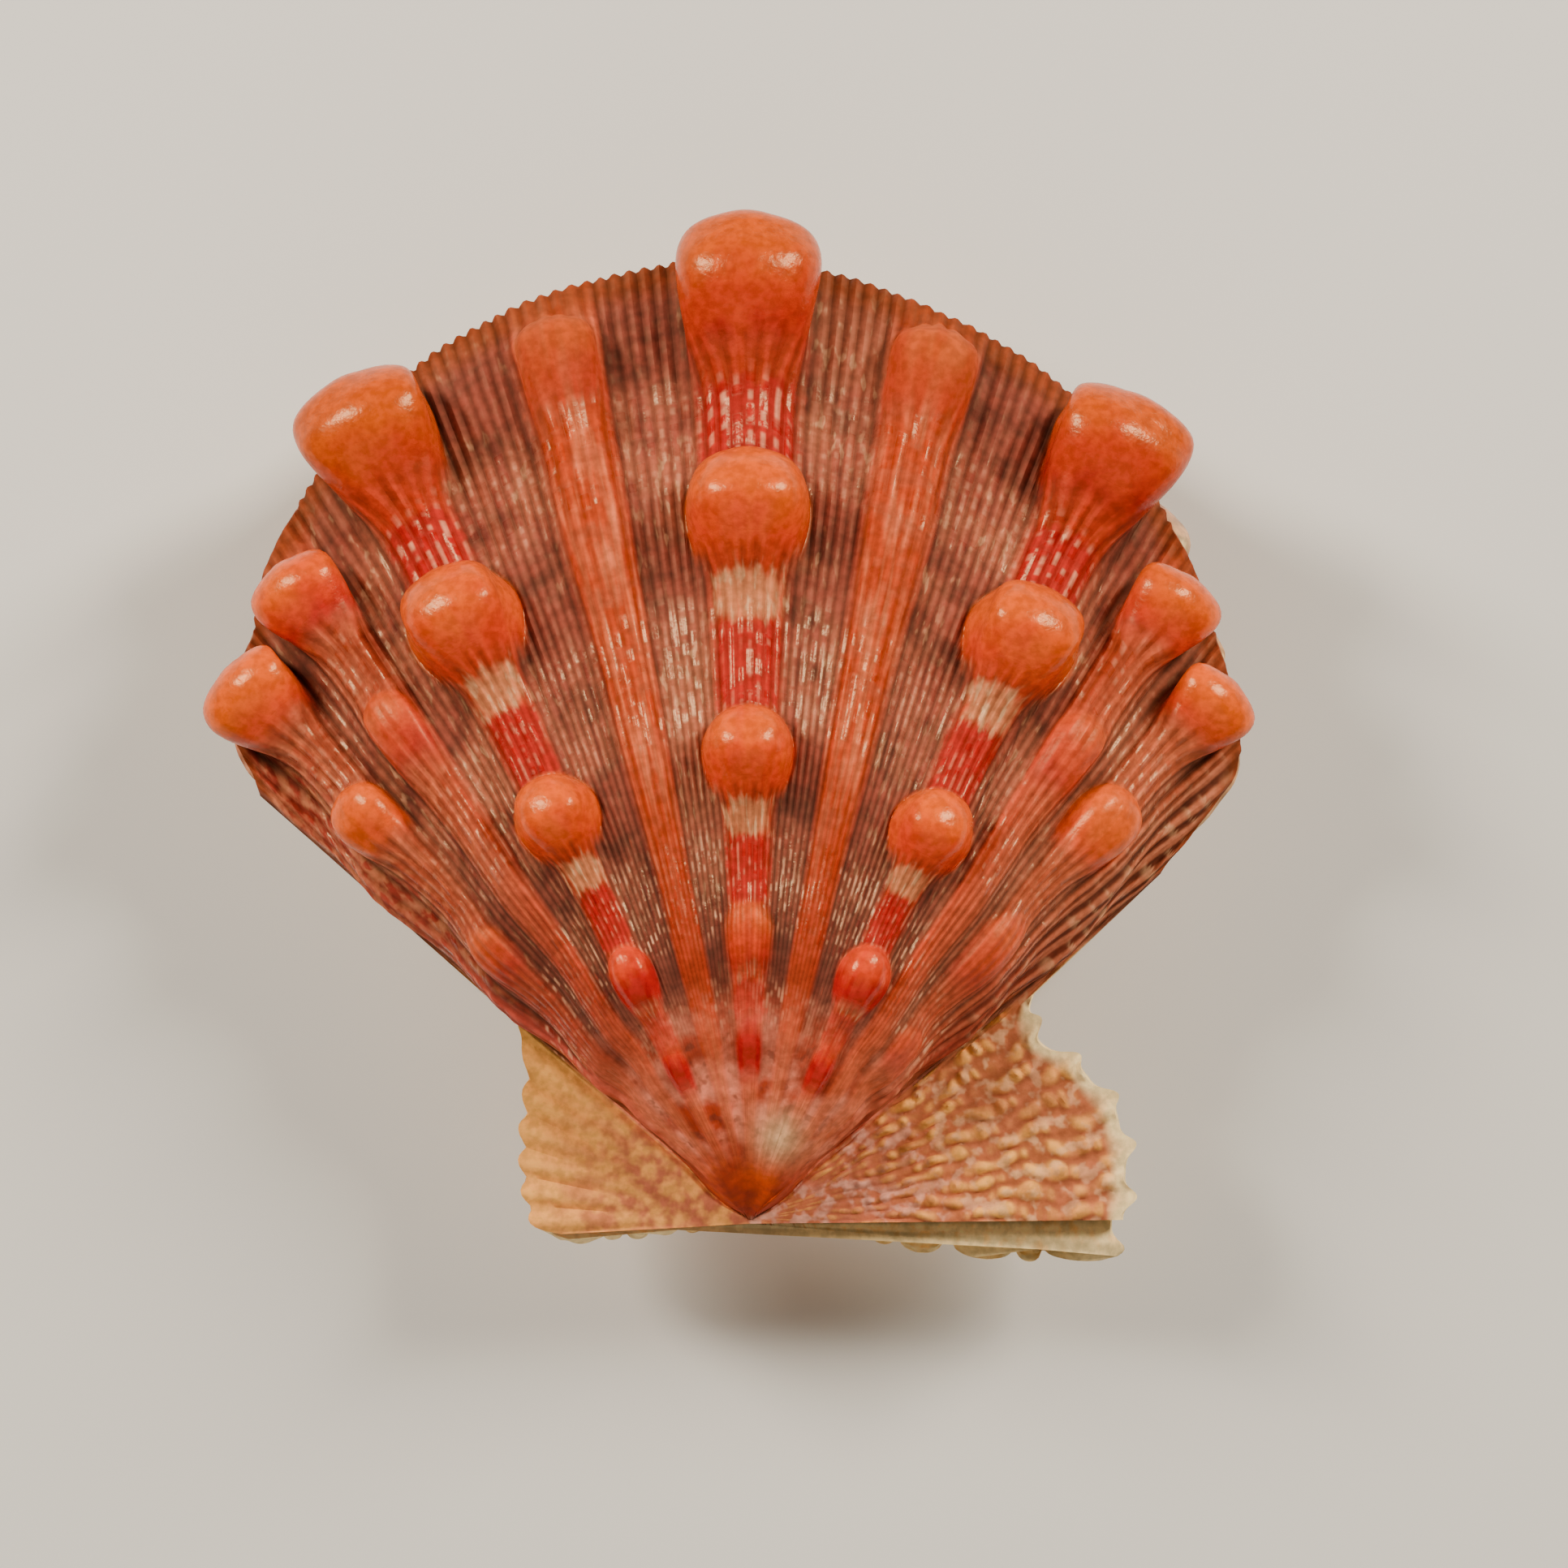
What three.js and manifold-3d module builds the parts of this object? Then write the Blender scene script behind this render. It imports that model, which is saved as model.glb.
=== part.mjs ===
// A closed lion's paw scallop, lying on its lower valve: two ribbed, knobbed valves that meet at a
// wavy margin and along a straight hinge. Millimetres and degrees, +Z up.
// Working frame: the beak of the shell is the origin, +X is the front side, with the larger ear,
// +Y runs from the hinge to the round margin, and z = 0 is the plane in which the valves meet.
import * as THREE from "three";
import { mergeVertices } from "three/addons/utils/BufferGeometryUtils.js";
import Module from "manifold-3d";

const wasm = await Module();
wasm.setup();
const { degToRad, smoothstep } = THREE.MathUtils;

// The disc: a round margin and two straight flanks that run out from the beak
const DISC_RADIUS = 34.4;
const DISC_CENTRE = { x: -1.3, y: 30.1 };
const FLANK = { left: -49.3, right: 50 };
const CORNER_START = 0.92; // share of the flank angle where the margin begins to round off
const CORNER_CUT = { left: 0.07, right: 0.16 }; // share of the reach that a rounded corner takes off
const REACH = DISC_CENTRE.y + DISC_RADIUS;

// The bulge of a valve over the meeting plane
const FLANK_STEEPNESS = 4;
const FLANK_ROUNDING = 0.62;
const CROWN_ROUNDING = 0.85;
const LIP = 0.9; // wall at the margin
const WALL = 1.7; // how much lower the inside stands than the outside, at the crown
const INSIDE_INSET = 1.05; // the inside's flanks stand in from the outside's by this factor
const VALVE_GAP = 0.4;
const MARGIN_WAVE = 1.1; // the margin rises under an upper rib and falls between ribs
const MARGIN_LEAN = 0.97; // the surface leans no further out than it does at this share
const RELIEF_LEAN = 0.6; // ribs and knobs stand up more steeply than the surface's own direction

// Ribs widen and rise towards the margin; a knobbed rib sinks behind each knob
const RIB_RISE = 2.2;
const RIB_GROWTH = 1.1;
const RIB_FLAT_TOP = 0.5; // share of the half width
const RIB_FOOT = 1.25;
const BEHIND_KNOB = 0.55; // share of the rib's rise that is left just outside a knob
const AT_KNOB = 1.2; // share of the rib's rise that it ramps up to at the next knob
const PLAIN_RIB = 0.85;
const KNOB_FULLNESS = 2.5; // 2 is a dome, more is blunter
const KNOB_SPREAD = 1.22; // across the rib, in half widths of it

// Upper ribs from left to right. A knob is [distance from the beak, half length, rise over the bulge], and
// overhang is how much further out than the margin the rib's end carries the edge.
const UPPER_RIBS = [
  { angle: -43.8, half: 3, overhang: 1.8, knobs: [[25, 1.4, 1.4], [37, 2.2, 2.3], [47.5, 2.9, 3]] },
  { angle: -35.2, half: 3, overhang: -1, knobs: [[40.5, 2, 2], [50.6, 2.8, 2.8]] },
  {
    angle: -25.7,
    half: 3.6,
    overhang: 2,
    knobs: [[18, 1.4, 1.5], [29.6, 2.4, 2.7], [44, 3.8, 4], [59.5, 4.4, 4.6]],
  },
  { angle: -12.6, half: 3.3, overhang: -0.4, knobs: [[59.5, 3.4, 2.5]] },
  {
    angle: -0.2,
    half: 3.8,
    overhang: 3,
    knobs: [[18.4, 1.5, 1.4], [30.8, 2.9, 3], [47.2, 4.1, 4.2], [63.4, 4.6, 4.6]],
  },
  { angle: 12, half: 3.3, overhang: -0.7, knobs: [[58.5, 3.4, 2.5]] },
  {
    angle: 25.2,
    half: 3.7,
    overhang: 2.4,
    knobs: [[17.8, 1.5, 1.6], [28.2, 2.4, 2.7], [42.5, 3.6, 3.9], [57.4, 4.5, 4.6]],
  },
  { angle: 34.5, half: 2.9, overhang: -0.5, knobs: [[38, 1.8, 1.8], [49, 2.9, 2.9]] },
  { angle: 42.6, half: 2.8, overhang: 0.8, knobs: [[24.6, 1.4, 1.4], [35.4, 2.1, 2.1], [46, 2.7, 2.8]] },
];

// Lower ribs stand in the gaps between the upper ones, with rows of smaller knobs
const LOWER_RIB_SHARE = 0.29; // half width, as a share of the spacing
const LOWER_KNOB_ROWS = [0.3, 0.62, 0.95]; // shares of the rib's length
const LOWER_KNOB_RADIUS = 0.055; // as a share of the distance from the beak
const LOWER_KNOB_RISE = [1.9, 2.6, 2.5];
const LOWER_KNOB_LIMIT = 34; // ribs further out than this angle are plain
const WORN_DEPTH = 0.35; // the lowest knobs are worn flat by this much where the shell rests

// steps are the places across a rib, in half widths, where its surface bends, and rows are the shares
// of the way from the beak to the margin, closer together where knobs stand
const UPPER = {
  side: 1, bulge: 11.2, crown: 0.72, ribs: UPPER_RIBS,
  steps: [-RIB_FOOT, -0.9, -RIB_FLAT_TOP, 0, RIB_FLAT_TOP, 0.9, RIB_FOOT],
  rows: [
    0.045, 0.1, 0.17, 0.24, 0.27, 0.3, 0.33, 0.4, 0.45, 0.48, 0.51, 0.55, 0.62, 0.69, 0.715, 0.74,
    0.765, 0.8, 0.86, 0.9, 0.925, 0.95, 0.975, 1,
  ],
};
const LOWER = {
  side: -1, bulge: 9.6, crown: 0.78, ribs: lowerRibs(),
  steps: [-RIB_FOOT, -RIB_FLAT_TOP, 0, RIB_FLAT_TOP, RIB_FOOT],
  rows: [
    0.045, 0.1, 0.17, 0.24, 0.28, 0.3, 0.32, 0.36, 0.45, 0.54, 0.585, 0.62, 0.655, 0.7, 0.8, 0.89,
    0.93, 0.965, 1,
  ],
};
const INSIDE_ROWS = [0.045, 0.2, 0.4, 0.7, 1];
const BEAK = { radii: [2.6, 3.6, 3.3], centre: [0, 3, 1.9] }; // the rounded tip over the hinge

// The ears: flat fans that spread from the beak between a flank and the hinge
const EAR_THICKNESS = 1.3;
const EAR_ROWS = [0.09, 0.35, 0.7, 1];
const EAR_RIBLET = 0.3;
const EAR_OVERLAP = 3; // degrees of each ear that run into the disc
const TOOTH = 0.5; // how far the riblets stand out at an ear's edge

// reach gives the distance from the apex to the ear's edge at an angle from the +Y axis
const EARS = {
  upperLeft: {
    apex: [3, -0.45], from: -92.2, to: FLANK.left + EAR_OVERLAP, riblets: 7,
    reach: (angle) => squareReach(angle, 17.4, 0.06),
  },
  upperRight: {
    apex: [-3, -0.3], from: FLANK.right - EAR_OVERLAP, to: 90, riblets: 6,
    reach: (angle) => squareReach(angle, 27.7, 0) * bay(angle, 57, 0.225),
  },
  lowerLeft: {
    apex: [3, -0.6], from: -92.6, to: FLANK.left + EAR_OVERLAP, riblets: 7,
    reach: (angle) => squareReach(angle, 17, 0.05),
  },
  lowerRight: {
    apex: [-3, -0.3], from: FLANK.right - EAR_OVERLAP, to: 95.4, riblets: 6,
    reach: (angle) => squareReach(angle, 27.2, 0) * bay(angle, 58, 0.4),
  },
};

// An ear's straight outer edge, side millimetres from the apex, with its hinge corner rounded off
function squareReach(angle, side, corner) {
  const turn = Math.abs(angle);
  return (side / Math.sin(degToRad(Math.min(turn, 90)))) * (1 - corner * smoothstep(turn, 74, 92));
}

// The bay between the front ear and the flank: a share of the reach taken off around one angle
function bay(angle, centre, depth) {
  const width = 9.5;
  return 1 - depth * Math.exp(-(((angle - centre) / width) ** 2));
}

function lowerRibs() {
  const angles = UPPER_RIBS.map((rib) => rib.angle);
  const bounds = [FLANK.left, ...angles, FLANK.right];
  const middles = bounds.slice(1).map((bound, i) => (bound + bounds[i]) / 2);
  return middles.map((angle, i) => {
    const half = LOWER_RIB_SHARE * (bounds[i + 1] - bounds[i]);
    const rows = Math.abs(angle) < LOWER_KNOB_LIMIT ? LOWER_KNOB_ROWS : [];
    const knobs = rows.map((row, j) => {
      const distance = row * discReach(angle);
      return [distance, LOWER_KNOB_RADIUS * distance, LOWER_KNOB_RISE[j]];
    });
    return { angle, half, overhang: 0, knobs };
  });
}

// How far one ray at an angle from +Y runs from the beak to the margin
function discReach(angle) {
  const [s, c] = [Math.sin(degToRad(angle)), Math.cos(degToRad(angle))];
  const along = DISC_CENTRE.x * s + DISC_CENTRE.y * c;
  const across = DISC_CENTRE.x * c - DISC_CENTRE.y * s;
  const corner = smoothstep(flankShare(angle), CORNER_START, 1);
  const cut = angle < 0 ? CORNER_CUT.left : CORNER_CUT.right;
  return (along + Math.sqrt(DISC_RADIUS ** 2 - across ** 2)) * (1 - cut * corner);
}

// 0 on the middle ray and 1 on a flank
function flankShare(angle) {
  return angle < 0 ? angle / FLANK.left : angle / FLANK.right;
}

// Height of the smooth bulge, with no ribs, at a share of the way out from the beak
function bulgeHeight(valve, angle, share) {
  const across = Math.max(0, 1 - flankShare(angle) ** FLANK_STEEPNESS) ** FLANK_ROUNDING;
  const along = Math.max(0, Math.sin(Math.PI * Math.min(share, 1) ** valve.crown)) ** CROWN_ROUNDING;
  return valve.bulge * across * along;
}

// 1 on the top of a rib and 0 between ribs
function ribSide(rib, angle) {
  const away = Math.abs(angle - rib.angle) / rib.half;
  return 1 - smoothstep(away, RIB_FLAT_TOP, RIB_FOOT);
}

function marginWave(angle, share) {
  const upper = Math.max(...UPPER_RIBS.map((rib) => ribSide(rib, angle)));
  return MARGIN_WAVE * (upper - 0.5) * Math.min(share, 1) ** 3;
}

// A rib's rise at a distance from the beak
function ribCrest(rib, distance) {
  const rise = RIB_RISE * (distance / REACH) ** RIB_GROWTH;
  if (rib.knobs.length < 2) return rise * PLAIN_RIB;
  const inner = rib.knobs.filter((knob) => knob[0] <= distance).at(-1)?.[0] ?? 0;
  const outer = rib.knobs.find((knob) => knob[0] > distance)?.[0] ?? REACH * 1.2;
  const ramp = ((distance - inner) / (outer - inner)) ** 1.5;
  return rise * (BEHIND_KNOB + (AT_KNOB - BEHIND_KNOB) * ramp);
}

// A knob's rise at a place near it
function knobRise(rib, [at, radius, rise], angle, distance) {
  const across = (angle - rib.angle) / (KNOB_SPREAD * rib.half);
  const away = Math.hypot(across, (distance - at) / radius);
  return rise * Math.sqrt(Math.max(0, 1 - away ** KNOB_FULLNESS));
}

// How far ribs and knobs together stand over the smooth bulge
function relief(valve, angle, distance) {
  const rises = valve.ribs.map((rib) => {
    const knobs = rib.knobs.map((knob) => knobRise(rib, knob, angle, distance));
    return Math.max(ribSide(rib, angle) * ribCrest(rib, distance), ...knobs);
  });
  return Math.max(...rises);
}

// The outer edge of a valve: the margin, carried further out or drawn in at the ends of the ribs
function outerReach(valve, angle) {
  const reach = discReach(angle);
  const extra = valve.ribs.map((rib) => {
    if (rib.overhang === 0) return 0;
    const away = (angle - rib.angle) / (KNOB_SPREAD * rib.half);
    return rib.overhang * Math.sqrt(Math.max(0, 1 - away ** 2));
  });
  return reach + extra.reduce((sum, value) => sum + value);
}

// A point of the smooth bulge at a distance from the beak
function smoothPoint(valve, angle, distance) {
  const share = distance / discReach(angle);
  const height = VALVE_GAP / 2 + LIP + bulgeHeight(valve, angle, share);
  return new THREE.Vector3(
    distance * Math.sin(degToRad(angle)),
    distance * Math.cos(degToRad(angle)),
    valve.side * height + marginWave(angle, share),
  );
}

// The direction in which ribs and knobs stand up from the smooth bulge
function outward(valve, angle, distance) {
  const [dAngle, dAlong] = [0.5, 0.6];
  const inside = Math.min(distance, MARGIN_LEAN * discReach(angle));
  const across = smoothPoint(valve, angle + dAngle, inside)
    .sub(smoothPoint(valve, angle - dAngle, inside));
  const along = smoothPoint(valve, angle, inside + dAlong)
    .sub(smoothPoint(valve, angle, inside - dAlong));
  const normal = across.cross(along).multiplyScalar(valve.side).normalize();
  normal.x *= RELIEF_LEAN;
  normal.y *= RELIEF_LEAN;
  return normal.normalize();
}

function outerPoint(valve, angle, share) {
  const distance = share * outerReach(valve, angle);
  const lift = relief(valve, angle, distance);
  return smoothPoint(valve, angle, distance).addScaledVector(outward(valve, angle, distance), lift);
}

function innerPoint(valve, angle, share) {
  const point = smoothPoint(valve, angle, share * discReach(angle));
  const height = bulgeHeight(valve, angle * INSIDE_INSET, share);
  point.z = valve.side * (VALVE_GAP / 2 + height * (1 - WALL / valve.bulge)) + marginWave(angle, share);
  return point;
}

// A closed solid between two fans of points that share their angles: outer and inner give a point at
// an angle and a share of the way out, and each fan has its own rows.
function fanSolid(angles, outer, outerRows, inner, innerRows, side) {
  const points = [];
  const fan = (make, rows) => angles.map((angle) => rows.map((share) => {
    points.push(make(angle, share));
    return points.length - 1;
  }));
  const [out, ins] = [fan(outer, outerRows), fan(inner, innerRows)];
  const triangles = [];
  const quad = (a, b, c, d) => triangles.push([a, b, c], [a, c, d]);
  const skin = (grid, turned) => {
    for (let i = 0; i + 1 < grid.length; i++)
      for (let j = 0; j + 1 < grid[i].length; j++) {
        const corners = [grid[i][j], grid[i + 1][j], grid[i + 1][j + 1], grid[i][j + 1]];
        quad(...(turned ? corners.reverse() : corners));
      }
  };
  skin(out, false);
  skin(ins, true);
  for (let i = 0; i + 1 < angles.length; i++) {
    quad(out[i].at(-1), out[i + 1].at(-1), ins[i + 1].at(-1), ins[i].at(-1));
    quad(ins[i][0], ins[i + 1][0], out[i + 1][0], out[i][0]);
  }
  edgeWall(out[0], ins[0], triangles, false);
  edgeWall(out.at(-1), ins.at(-1), triangles, true);
  const index = triangles.flatMap((t) => (side > 0 ? t : [t[0], t[2], t[1]]));
  return new wasm.Manifold(new wasm.Mesh({
    numProp: 3,
    vertProperties: new Float32Array(points.flatMap((p) => p.toArray())),
    triVerts: new Uint32Array(index),
  }));
}

// Closes a fan's straight side between its outer and inner edges, which have different row counts
function edgeWall(out, ins, triangles, turned) {
  let [i, j] = [0, 0];
  while (i + 1 < out.length || j + 1 < ins.length) {
    const outNext = j + 1 === ins.length
      || (i + 1 < out.length && (i + 1) / (out.length - 1) <= (j + 1) / (ins.length - 1));
    const triangle = outNext ? [out[i], out[i + 1], ins[j]] : [out[i], ins[j + 1], ins[j]];
    triangles.push(turned ? triangle.reverse() : triangle);
    if (outNext) i++;
    else j++;
  }
}

// Angles that follow the ribs: a flat top, two sides and the floor of each gap
function discAngles({ ribs, steps }) {
  const tops = ribs.flatMap((rib) => steps.map((step) => rib.angle + step * rib.half));
  const floors = ribs.slice(1).map((rib, i) => (rib.angle + ribs[i].angle) / 2);
  const flanks = [FLANK.left, FLANK.left + 0.7, FLANK.right - 1.4, FLANK.right - 0.6, FLANK.right];
  const inside = [...tops, ...floors].filter((a) => a > FLANK.left && a < FLANK.right);
  const sorted = [...flanks, ...inside].sort((a, b) => a - b);
  return sorted.filter((angle, i) => i === 0 || angle - sorted[i - 1] > 0.35);
}

function disc(valve) {
  return fanSolid(
    discAngles(valve),
    (angle, share) => outerPoint(valve, angle, share), valve.rows,
    (angle, share) => innerPoint(valve, angle, share), INSIDE_ROWS,
    valve.side,
  );
}

// A closed three.js geometry as a solid that can be joined and cut
function solidOf(geometry) {
  geometry.deleteAttribute("normal");
  geometry.deleteAttribute("uv");
  const merged = mergeVertices(geometry);
  return new wasm.Manifold(new wasm.Mesh({
    numProp: 3,
    vertProperties: new Float32Array(merged.attributes.position.array),
    triVerts: new Uint32Array(merged.index.array),
  }));
}

function ear(side, shape) {
  const columns = shape.riblets * 2;
  const angles = Array.from({ length: columns + 1 }, (_, i) =>
    shape.from + ((shape.to - shape.from) * i) / columns);
  const point = (angle, share, height) => {
    const reach = share * shape.reach(angle);
    const along = [Math.sin(degToRad(angle)), Math.cos(degToRad(angle))];
    return new THREE.Vector3(
      shape.apex[0] + reach * along[0], shape.apex[1] + reach * along[1], side * height);
  };
  const crest = (angle) => angles.indexOf(angle) % 2;
  const top = (angle, share) => {
    const height = VALVE_GAP / 2 + EAR_THICKNESS + EAR_RIBLET * crest(angle) * share;
    return point(angle, share * (1 + (crest(angle) * TOOTH) / shape.reach(angle)), height);
  };
  const bottom = (angle, share) => point(angle, share, VALVE_GAP / 2);
  return fanSolid(angles, top, EAR_ROWS, bottom, EAR_ROWS, side);
}

// The rounded tip of the beak, cut off level at the hinge
function beak(side) {
  const [x, y, z] = BEAK.centre;
  const ball = new THREE.IcosahedronGeometry(1, 2).scale(...BEAK.radii).translate(x, y, side * z);
  const size = 10;
  const block = new THREE.BoxGeometry(size, size, size)
    .translate(x, y, side * (VALVE_GAP / 2 - size / 2));
  return solidOf(ball).subtract(solidOf(block));
}

// Joins a valve's disc, ears and beak into one solid
function valveSolid(valve, ears) {
  const parts = [...ears.map((shape) => ear(valve.side, shape)), beak(valve.side)];
  return parts.reduce((whole, part) => whole.add(part), disc(valve));
}

// Wears the lowest knobs flat, so that the shell rests steadily on them
function wornFlat(solid) {
  const floor = solid.boundingBox().min[2] + WORN_DEPTH;
  const depth = 10;
  const block = new THREE.BoxGeometry(4 * DISC_RADIUS, 4 * DISC_RADIUS, depth)
    .translate(0, DISC_CENTRE.y, floor - depth / 2);
  return solid.subtract(solidOf(block));
}

function valveMesh(name, solid, color, roughness) {
  const { vertProperties, triVerts } = solid.getMesh();
  const geometry = new THREE.BufferGeometry()
    .setAttribute("position", new THREE.BufferAttribute(vertProperties, 3))
    .setIndex(new THREE.BufferAttribute(triVerts, 1));
  const material = new THREE.MeshStandardMaterial({ color, roughness, metalness: 0 });
  const mesh = new THREE.Mesh(geometry, material);
  mesh.name = name;
  return mesh;
}

const upper = valveSolid(UPPER, [EARS.upperLeft, EARS.upperRight]);
const lower = wornFlat(valveSolid(LOWER, [EARS.lowerLeft, EARS.lowerRight]));
const shell = new THREE.Group();
shell.add(valveMesh("upper_valve", upper, 0xc2502a, 0.35));
shell.add(valveMesh("lower_valve", lower, 0xcf9a72, 0.45));

// The part's own frame: the middle of the footprint, on the surface that the shell rests on
const box = new THREE.Box3().setFromObject(shell);
const middle = box.getCenter(new THREE.Vector3());
shell.position.set(-middle.x, -middle.y, -box.min.z);

export default shell;
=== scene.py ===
"""A closed lion's paw scallop, lying on its lower valve.

Each valve is one fan of shell: a sheet that runs out from the beak over the ribs, knobs and ears,
turns round the lip at the margin and comes back along the inside. Lengths in the formulas are
millimetres from the beak, with +X to the front ear, +Y to the round margin and z = 0 where the
valves meet; the finished meshes are metres in the part's frame.
"""
import math
from collections import namedtuple

import bpy
import numpy as np
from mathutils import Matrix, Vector


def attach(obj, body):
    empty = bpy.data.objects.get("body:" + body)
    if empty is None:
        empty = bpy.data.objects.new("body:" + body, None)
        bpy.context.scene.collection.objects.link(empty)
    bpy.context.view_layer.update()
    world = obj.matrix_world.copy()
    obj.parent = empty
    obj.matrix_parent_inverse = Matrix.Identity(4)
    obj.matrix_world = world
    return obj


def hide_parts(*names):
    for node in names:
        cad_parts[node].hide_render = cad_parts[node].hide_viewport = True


bl_info = {
    "name": "Lion's Paw Scallop",
    "version": (1, 0, 0),
    "blender": (4, 5, 0),
    "location": "View3D > Sidebar > Scallop",
    "description": "Builds the two ribbed and knobbed valves of a lion's paw scallop",
    "category": "Add Mesh",
}

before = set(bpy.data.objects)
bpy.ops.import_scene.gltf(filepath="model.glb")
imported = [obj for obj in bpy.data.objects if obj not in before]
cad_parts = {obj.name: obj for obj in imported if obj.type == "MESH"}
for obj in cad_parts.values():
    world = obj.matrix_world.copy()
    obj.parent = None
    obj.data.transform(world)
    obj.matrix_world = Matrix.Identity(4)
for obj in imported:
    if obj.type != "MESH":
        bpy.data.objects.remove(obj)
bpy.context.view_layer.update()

MM = 0.001
NEARLY_ZERO = 1e-6
BEAK = np.array((1.2823, -32.6348, 11.7809))  # the beak's place in the frame
APEX = np.array((0.0, -0.35))  # where all columns of a fan start, on the hinge
DISC_CENTRE = (-1.3, 30.1)
FLANK = (-49.3, 50.0)  # the disc's straight sides, as angles from the middle ray
CORNER_START = 0.92
CORNER_CUT = (0.07, 0.16)
FLANK_STEEPNESS = 4
FLANK_ROUNDING = 0.62
CROWN_ROUNDING = 0.85
LIP = 0.9
LIP_ROWS = ((0.3, 0.16), (0.75, 0.12))  # share of the way round the lip, and its swell there
WALL = 1.7
INSIDE_INSET = 1.05
VALVE_GAP = 0.4
MARGIN_WAVE = 1.1
RELIEF_LEAN = 0.6
LEAN_STEP = 0.3
LEAN_REACH = 0.97  # past this share of the way out, relief stands as it does here
STEEPEST = 2.5
EAR_STEP = 0.4  # the ears stand this much higher than the lip
RIBLET_PITCH = 0.92  # degrees
RIBLET_START = (9, 22)  # distances over which the riblets grow in
MAP_TURN = 100  # degrees across the map of a fan

# where the disc ends and the ears start, as shares of the flanks' angle
DISC_END = (0.985, 1.005)
EAR_START = (1.0, 1.03)
MARGIN_START = 0.955  # share of the way out where the beads and teeth of the edge start

RIB_GROWTH = 1.1
# share of the way from one knob to the next, and the rib's height there
SADDLE = ((0, 0.95), (0.12, 0.9), (0.24, 0.42), (0.66, 0.95), (1, 0.95))
RIB_FLAT_TOP = 0.35
RIB_FOOT = 1.3
RIB_SPREAD = 0.8  # degrees that half a rib gains at the beak
FAR_OUT = 60  # a distance where no rib is spread
PLAIN_RIB_SHARE = 0.85  # a smooth rib's height, as a share of a knobbed one's
KNOB_POINT = 1.9  # 2 would make a knob's outer half round in plan, less draws it out
KNOB_TAIL = 1.7  # a knob tapers towards the beak over this many of its half lengths
BULB_TAIL = 2.3  # the balls at the margin taper further
KNOB_TURN = 96  # degrees from a knob's top down round to its foot
BULB_TURN = 112  # the same for the balls at the margin
KNOB_WARMING = 0.6  # a knob's colour grows this much warmer over one of its half lengths; its redder beak side is partly its own colour and partly painted shade
BULB_WARMING = 0.9
FULL_RISE = 1.8  # a knob that rises less is slight: softer, with a longer tail

# lengths in millimetres; warmth is -0.5 for crimson, 0 for red and 1 for yellow orange
Knob = namedtuple("Knob", "distance half_width half_length rise warmth")
Rib = namedtuple("Rib", "angle half_width knobs")  # both in degrees, knobs from the beak out


def new_rib(angle, half_width, *knobs):
    return Rib(angle, half_width, tuple(Knob(*knob) for knob in knobs))


UPPER_RIBS = (
    new_rib(-43.1, 2.6, (25, 1.2, 1.6, 0.4, 0.3), (37, 1.75, 2.2, 1.5, 0.85),
            (48.2, 2.65, 2.5, 2.7, 1.0)),
    new_rib(-35.4, 2.6, (40.5, 1.6, 2.2, 0.7, 0.25), (51.2, 2.5, 2.4, 2.7, 0.5)),
    new_rib(-25.6, 3.15, (11.4, 0.9, 1.3, 0.2, -0.5), (18, 1.5, 1.8, 0.9, -0.3),
            (29.4, 2.8, 2.6, 2.5, 0.6), (44, 3.9, 3.5, 3.7, 0.65), (58.4, 4.15, 3.6, 4.2, 1.1)),
    new_rib(-12.6, 2.9, (59.5, 2.4, 2.9, 1.0, 0.5)),
    new_rib(-0.2, 3.9, (11.8, 1.0, 1.5, 0.2, -0.5), (19, 1.7, 1.9, 0.45, 0.4),
            (30.8, 3.0, 2.8, 2.6, 0.5), (47.2, 4.1, 3.5, 3.8, 0.7), (63, 4.15, 4.1, 4.2, 0.7)),
    new_rib(12.0, 2.9, (58.5, 2.75, 3.0, 1.2, 0.5)),
    new_rib(25.1, 3.15, (11.4, 0.9, 1.3, 0.2, -0.5), (17.8, 1.8, 1.9, 1.1, -0.25),
            (28.2, 2.7, 2.6, 2.4, 0.55), (42.5, 3.8, 3.4, 3.6, 0.75), (56.8, 4.2, 3.6, 4.2, 0.6)),
    new_rib(34.1, 2.6, (38, 1.7, 2.2, 0.5, 0.3), (49.4, 2.4, 2.3, 2.7, 0.75)),
    new_rib(41.4, 2.6, (15.6, 0.9, 1.3, 0.25, 0.1), (24.6, 1.5, 2.3, 0.35, 0.25),
            (35.4, 2.2, 2.5, 1.2, 0.8), (46, 2.1, 2.1, 2.4, 0.9)),
)
STRONG_RIB_KNOBS = 5  # ribs with this many knobs have crimson saddles
# angle and how far the margin lies outside the round disc
MARGIN_TRIM = ((-49.3, -0.2), (-46, -0.2), (-40.5, -1.1), (-37, -0.3), (-30, 0), (-20, 0.4), (-12, 0.1),
               (-5, 0.2), (6, 0), (12, -0.5), (18, -0.1), (28, -0.2), (31, -0.5), (38, -0.7), (41, -0.6),
               (45, -0.3), (50, -0.2))
# angle, half width, rise and how strongly it is scaled
FLANK_CORDS = ((-48.1, 1.4, 0.8, 0.6), (45.3, 0.9, 0.5, 0.4), (47.1, 0.9, 0.6, 0.6),
               (48.8, 1.0, 0.8, 0.8))
CORD_SCALE = 2.3
CORD_LEAN = 0.055  # share by which the cords lie further in near the beak
LOWER_RIB_SHARE = 0.3
LOWER_KNOB_ROWS = ((0.3, 1.5), (0.62, 1.9), (0.95, 1.8))  # share of the way out, rise
LOWER_KNOB_RADIUS = 0.055
LOWER_KNOB_LIMIT = 34
LOWER_KNOB_WARMTH = 0.5
BEAK_SPREAD = 0.3  # the flanks stand this much wider apart at the beak's tip
BEAK_REACH = 6
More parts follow.
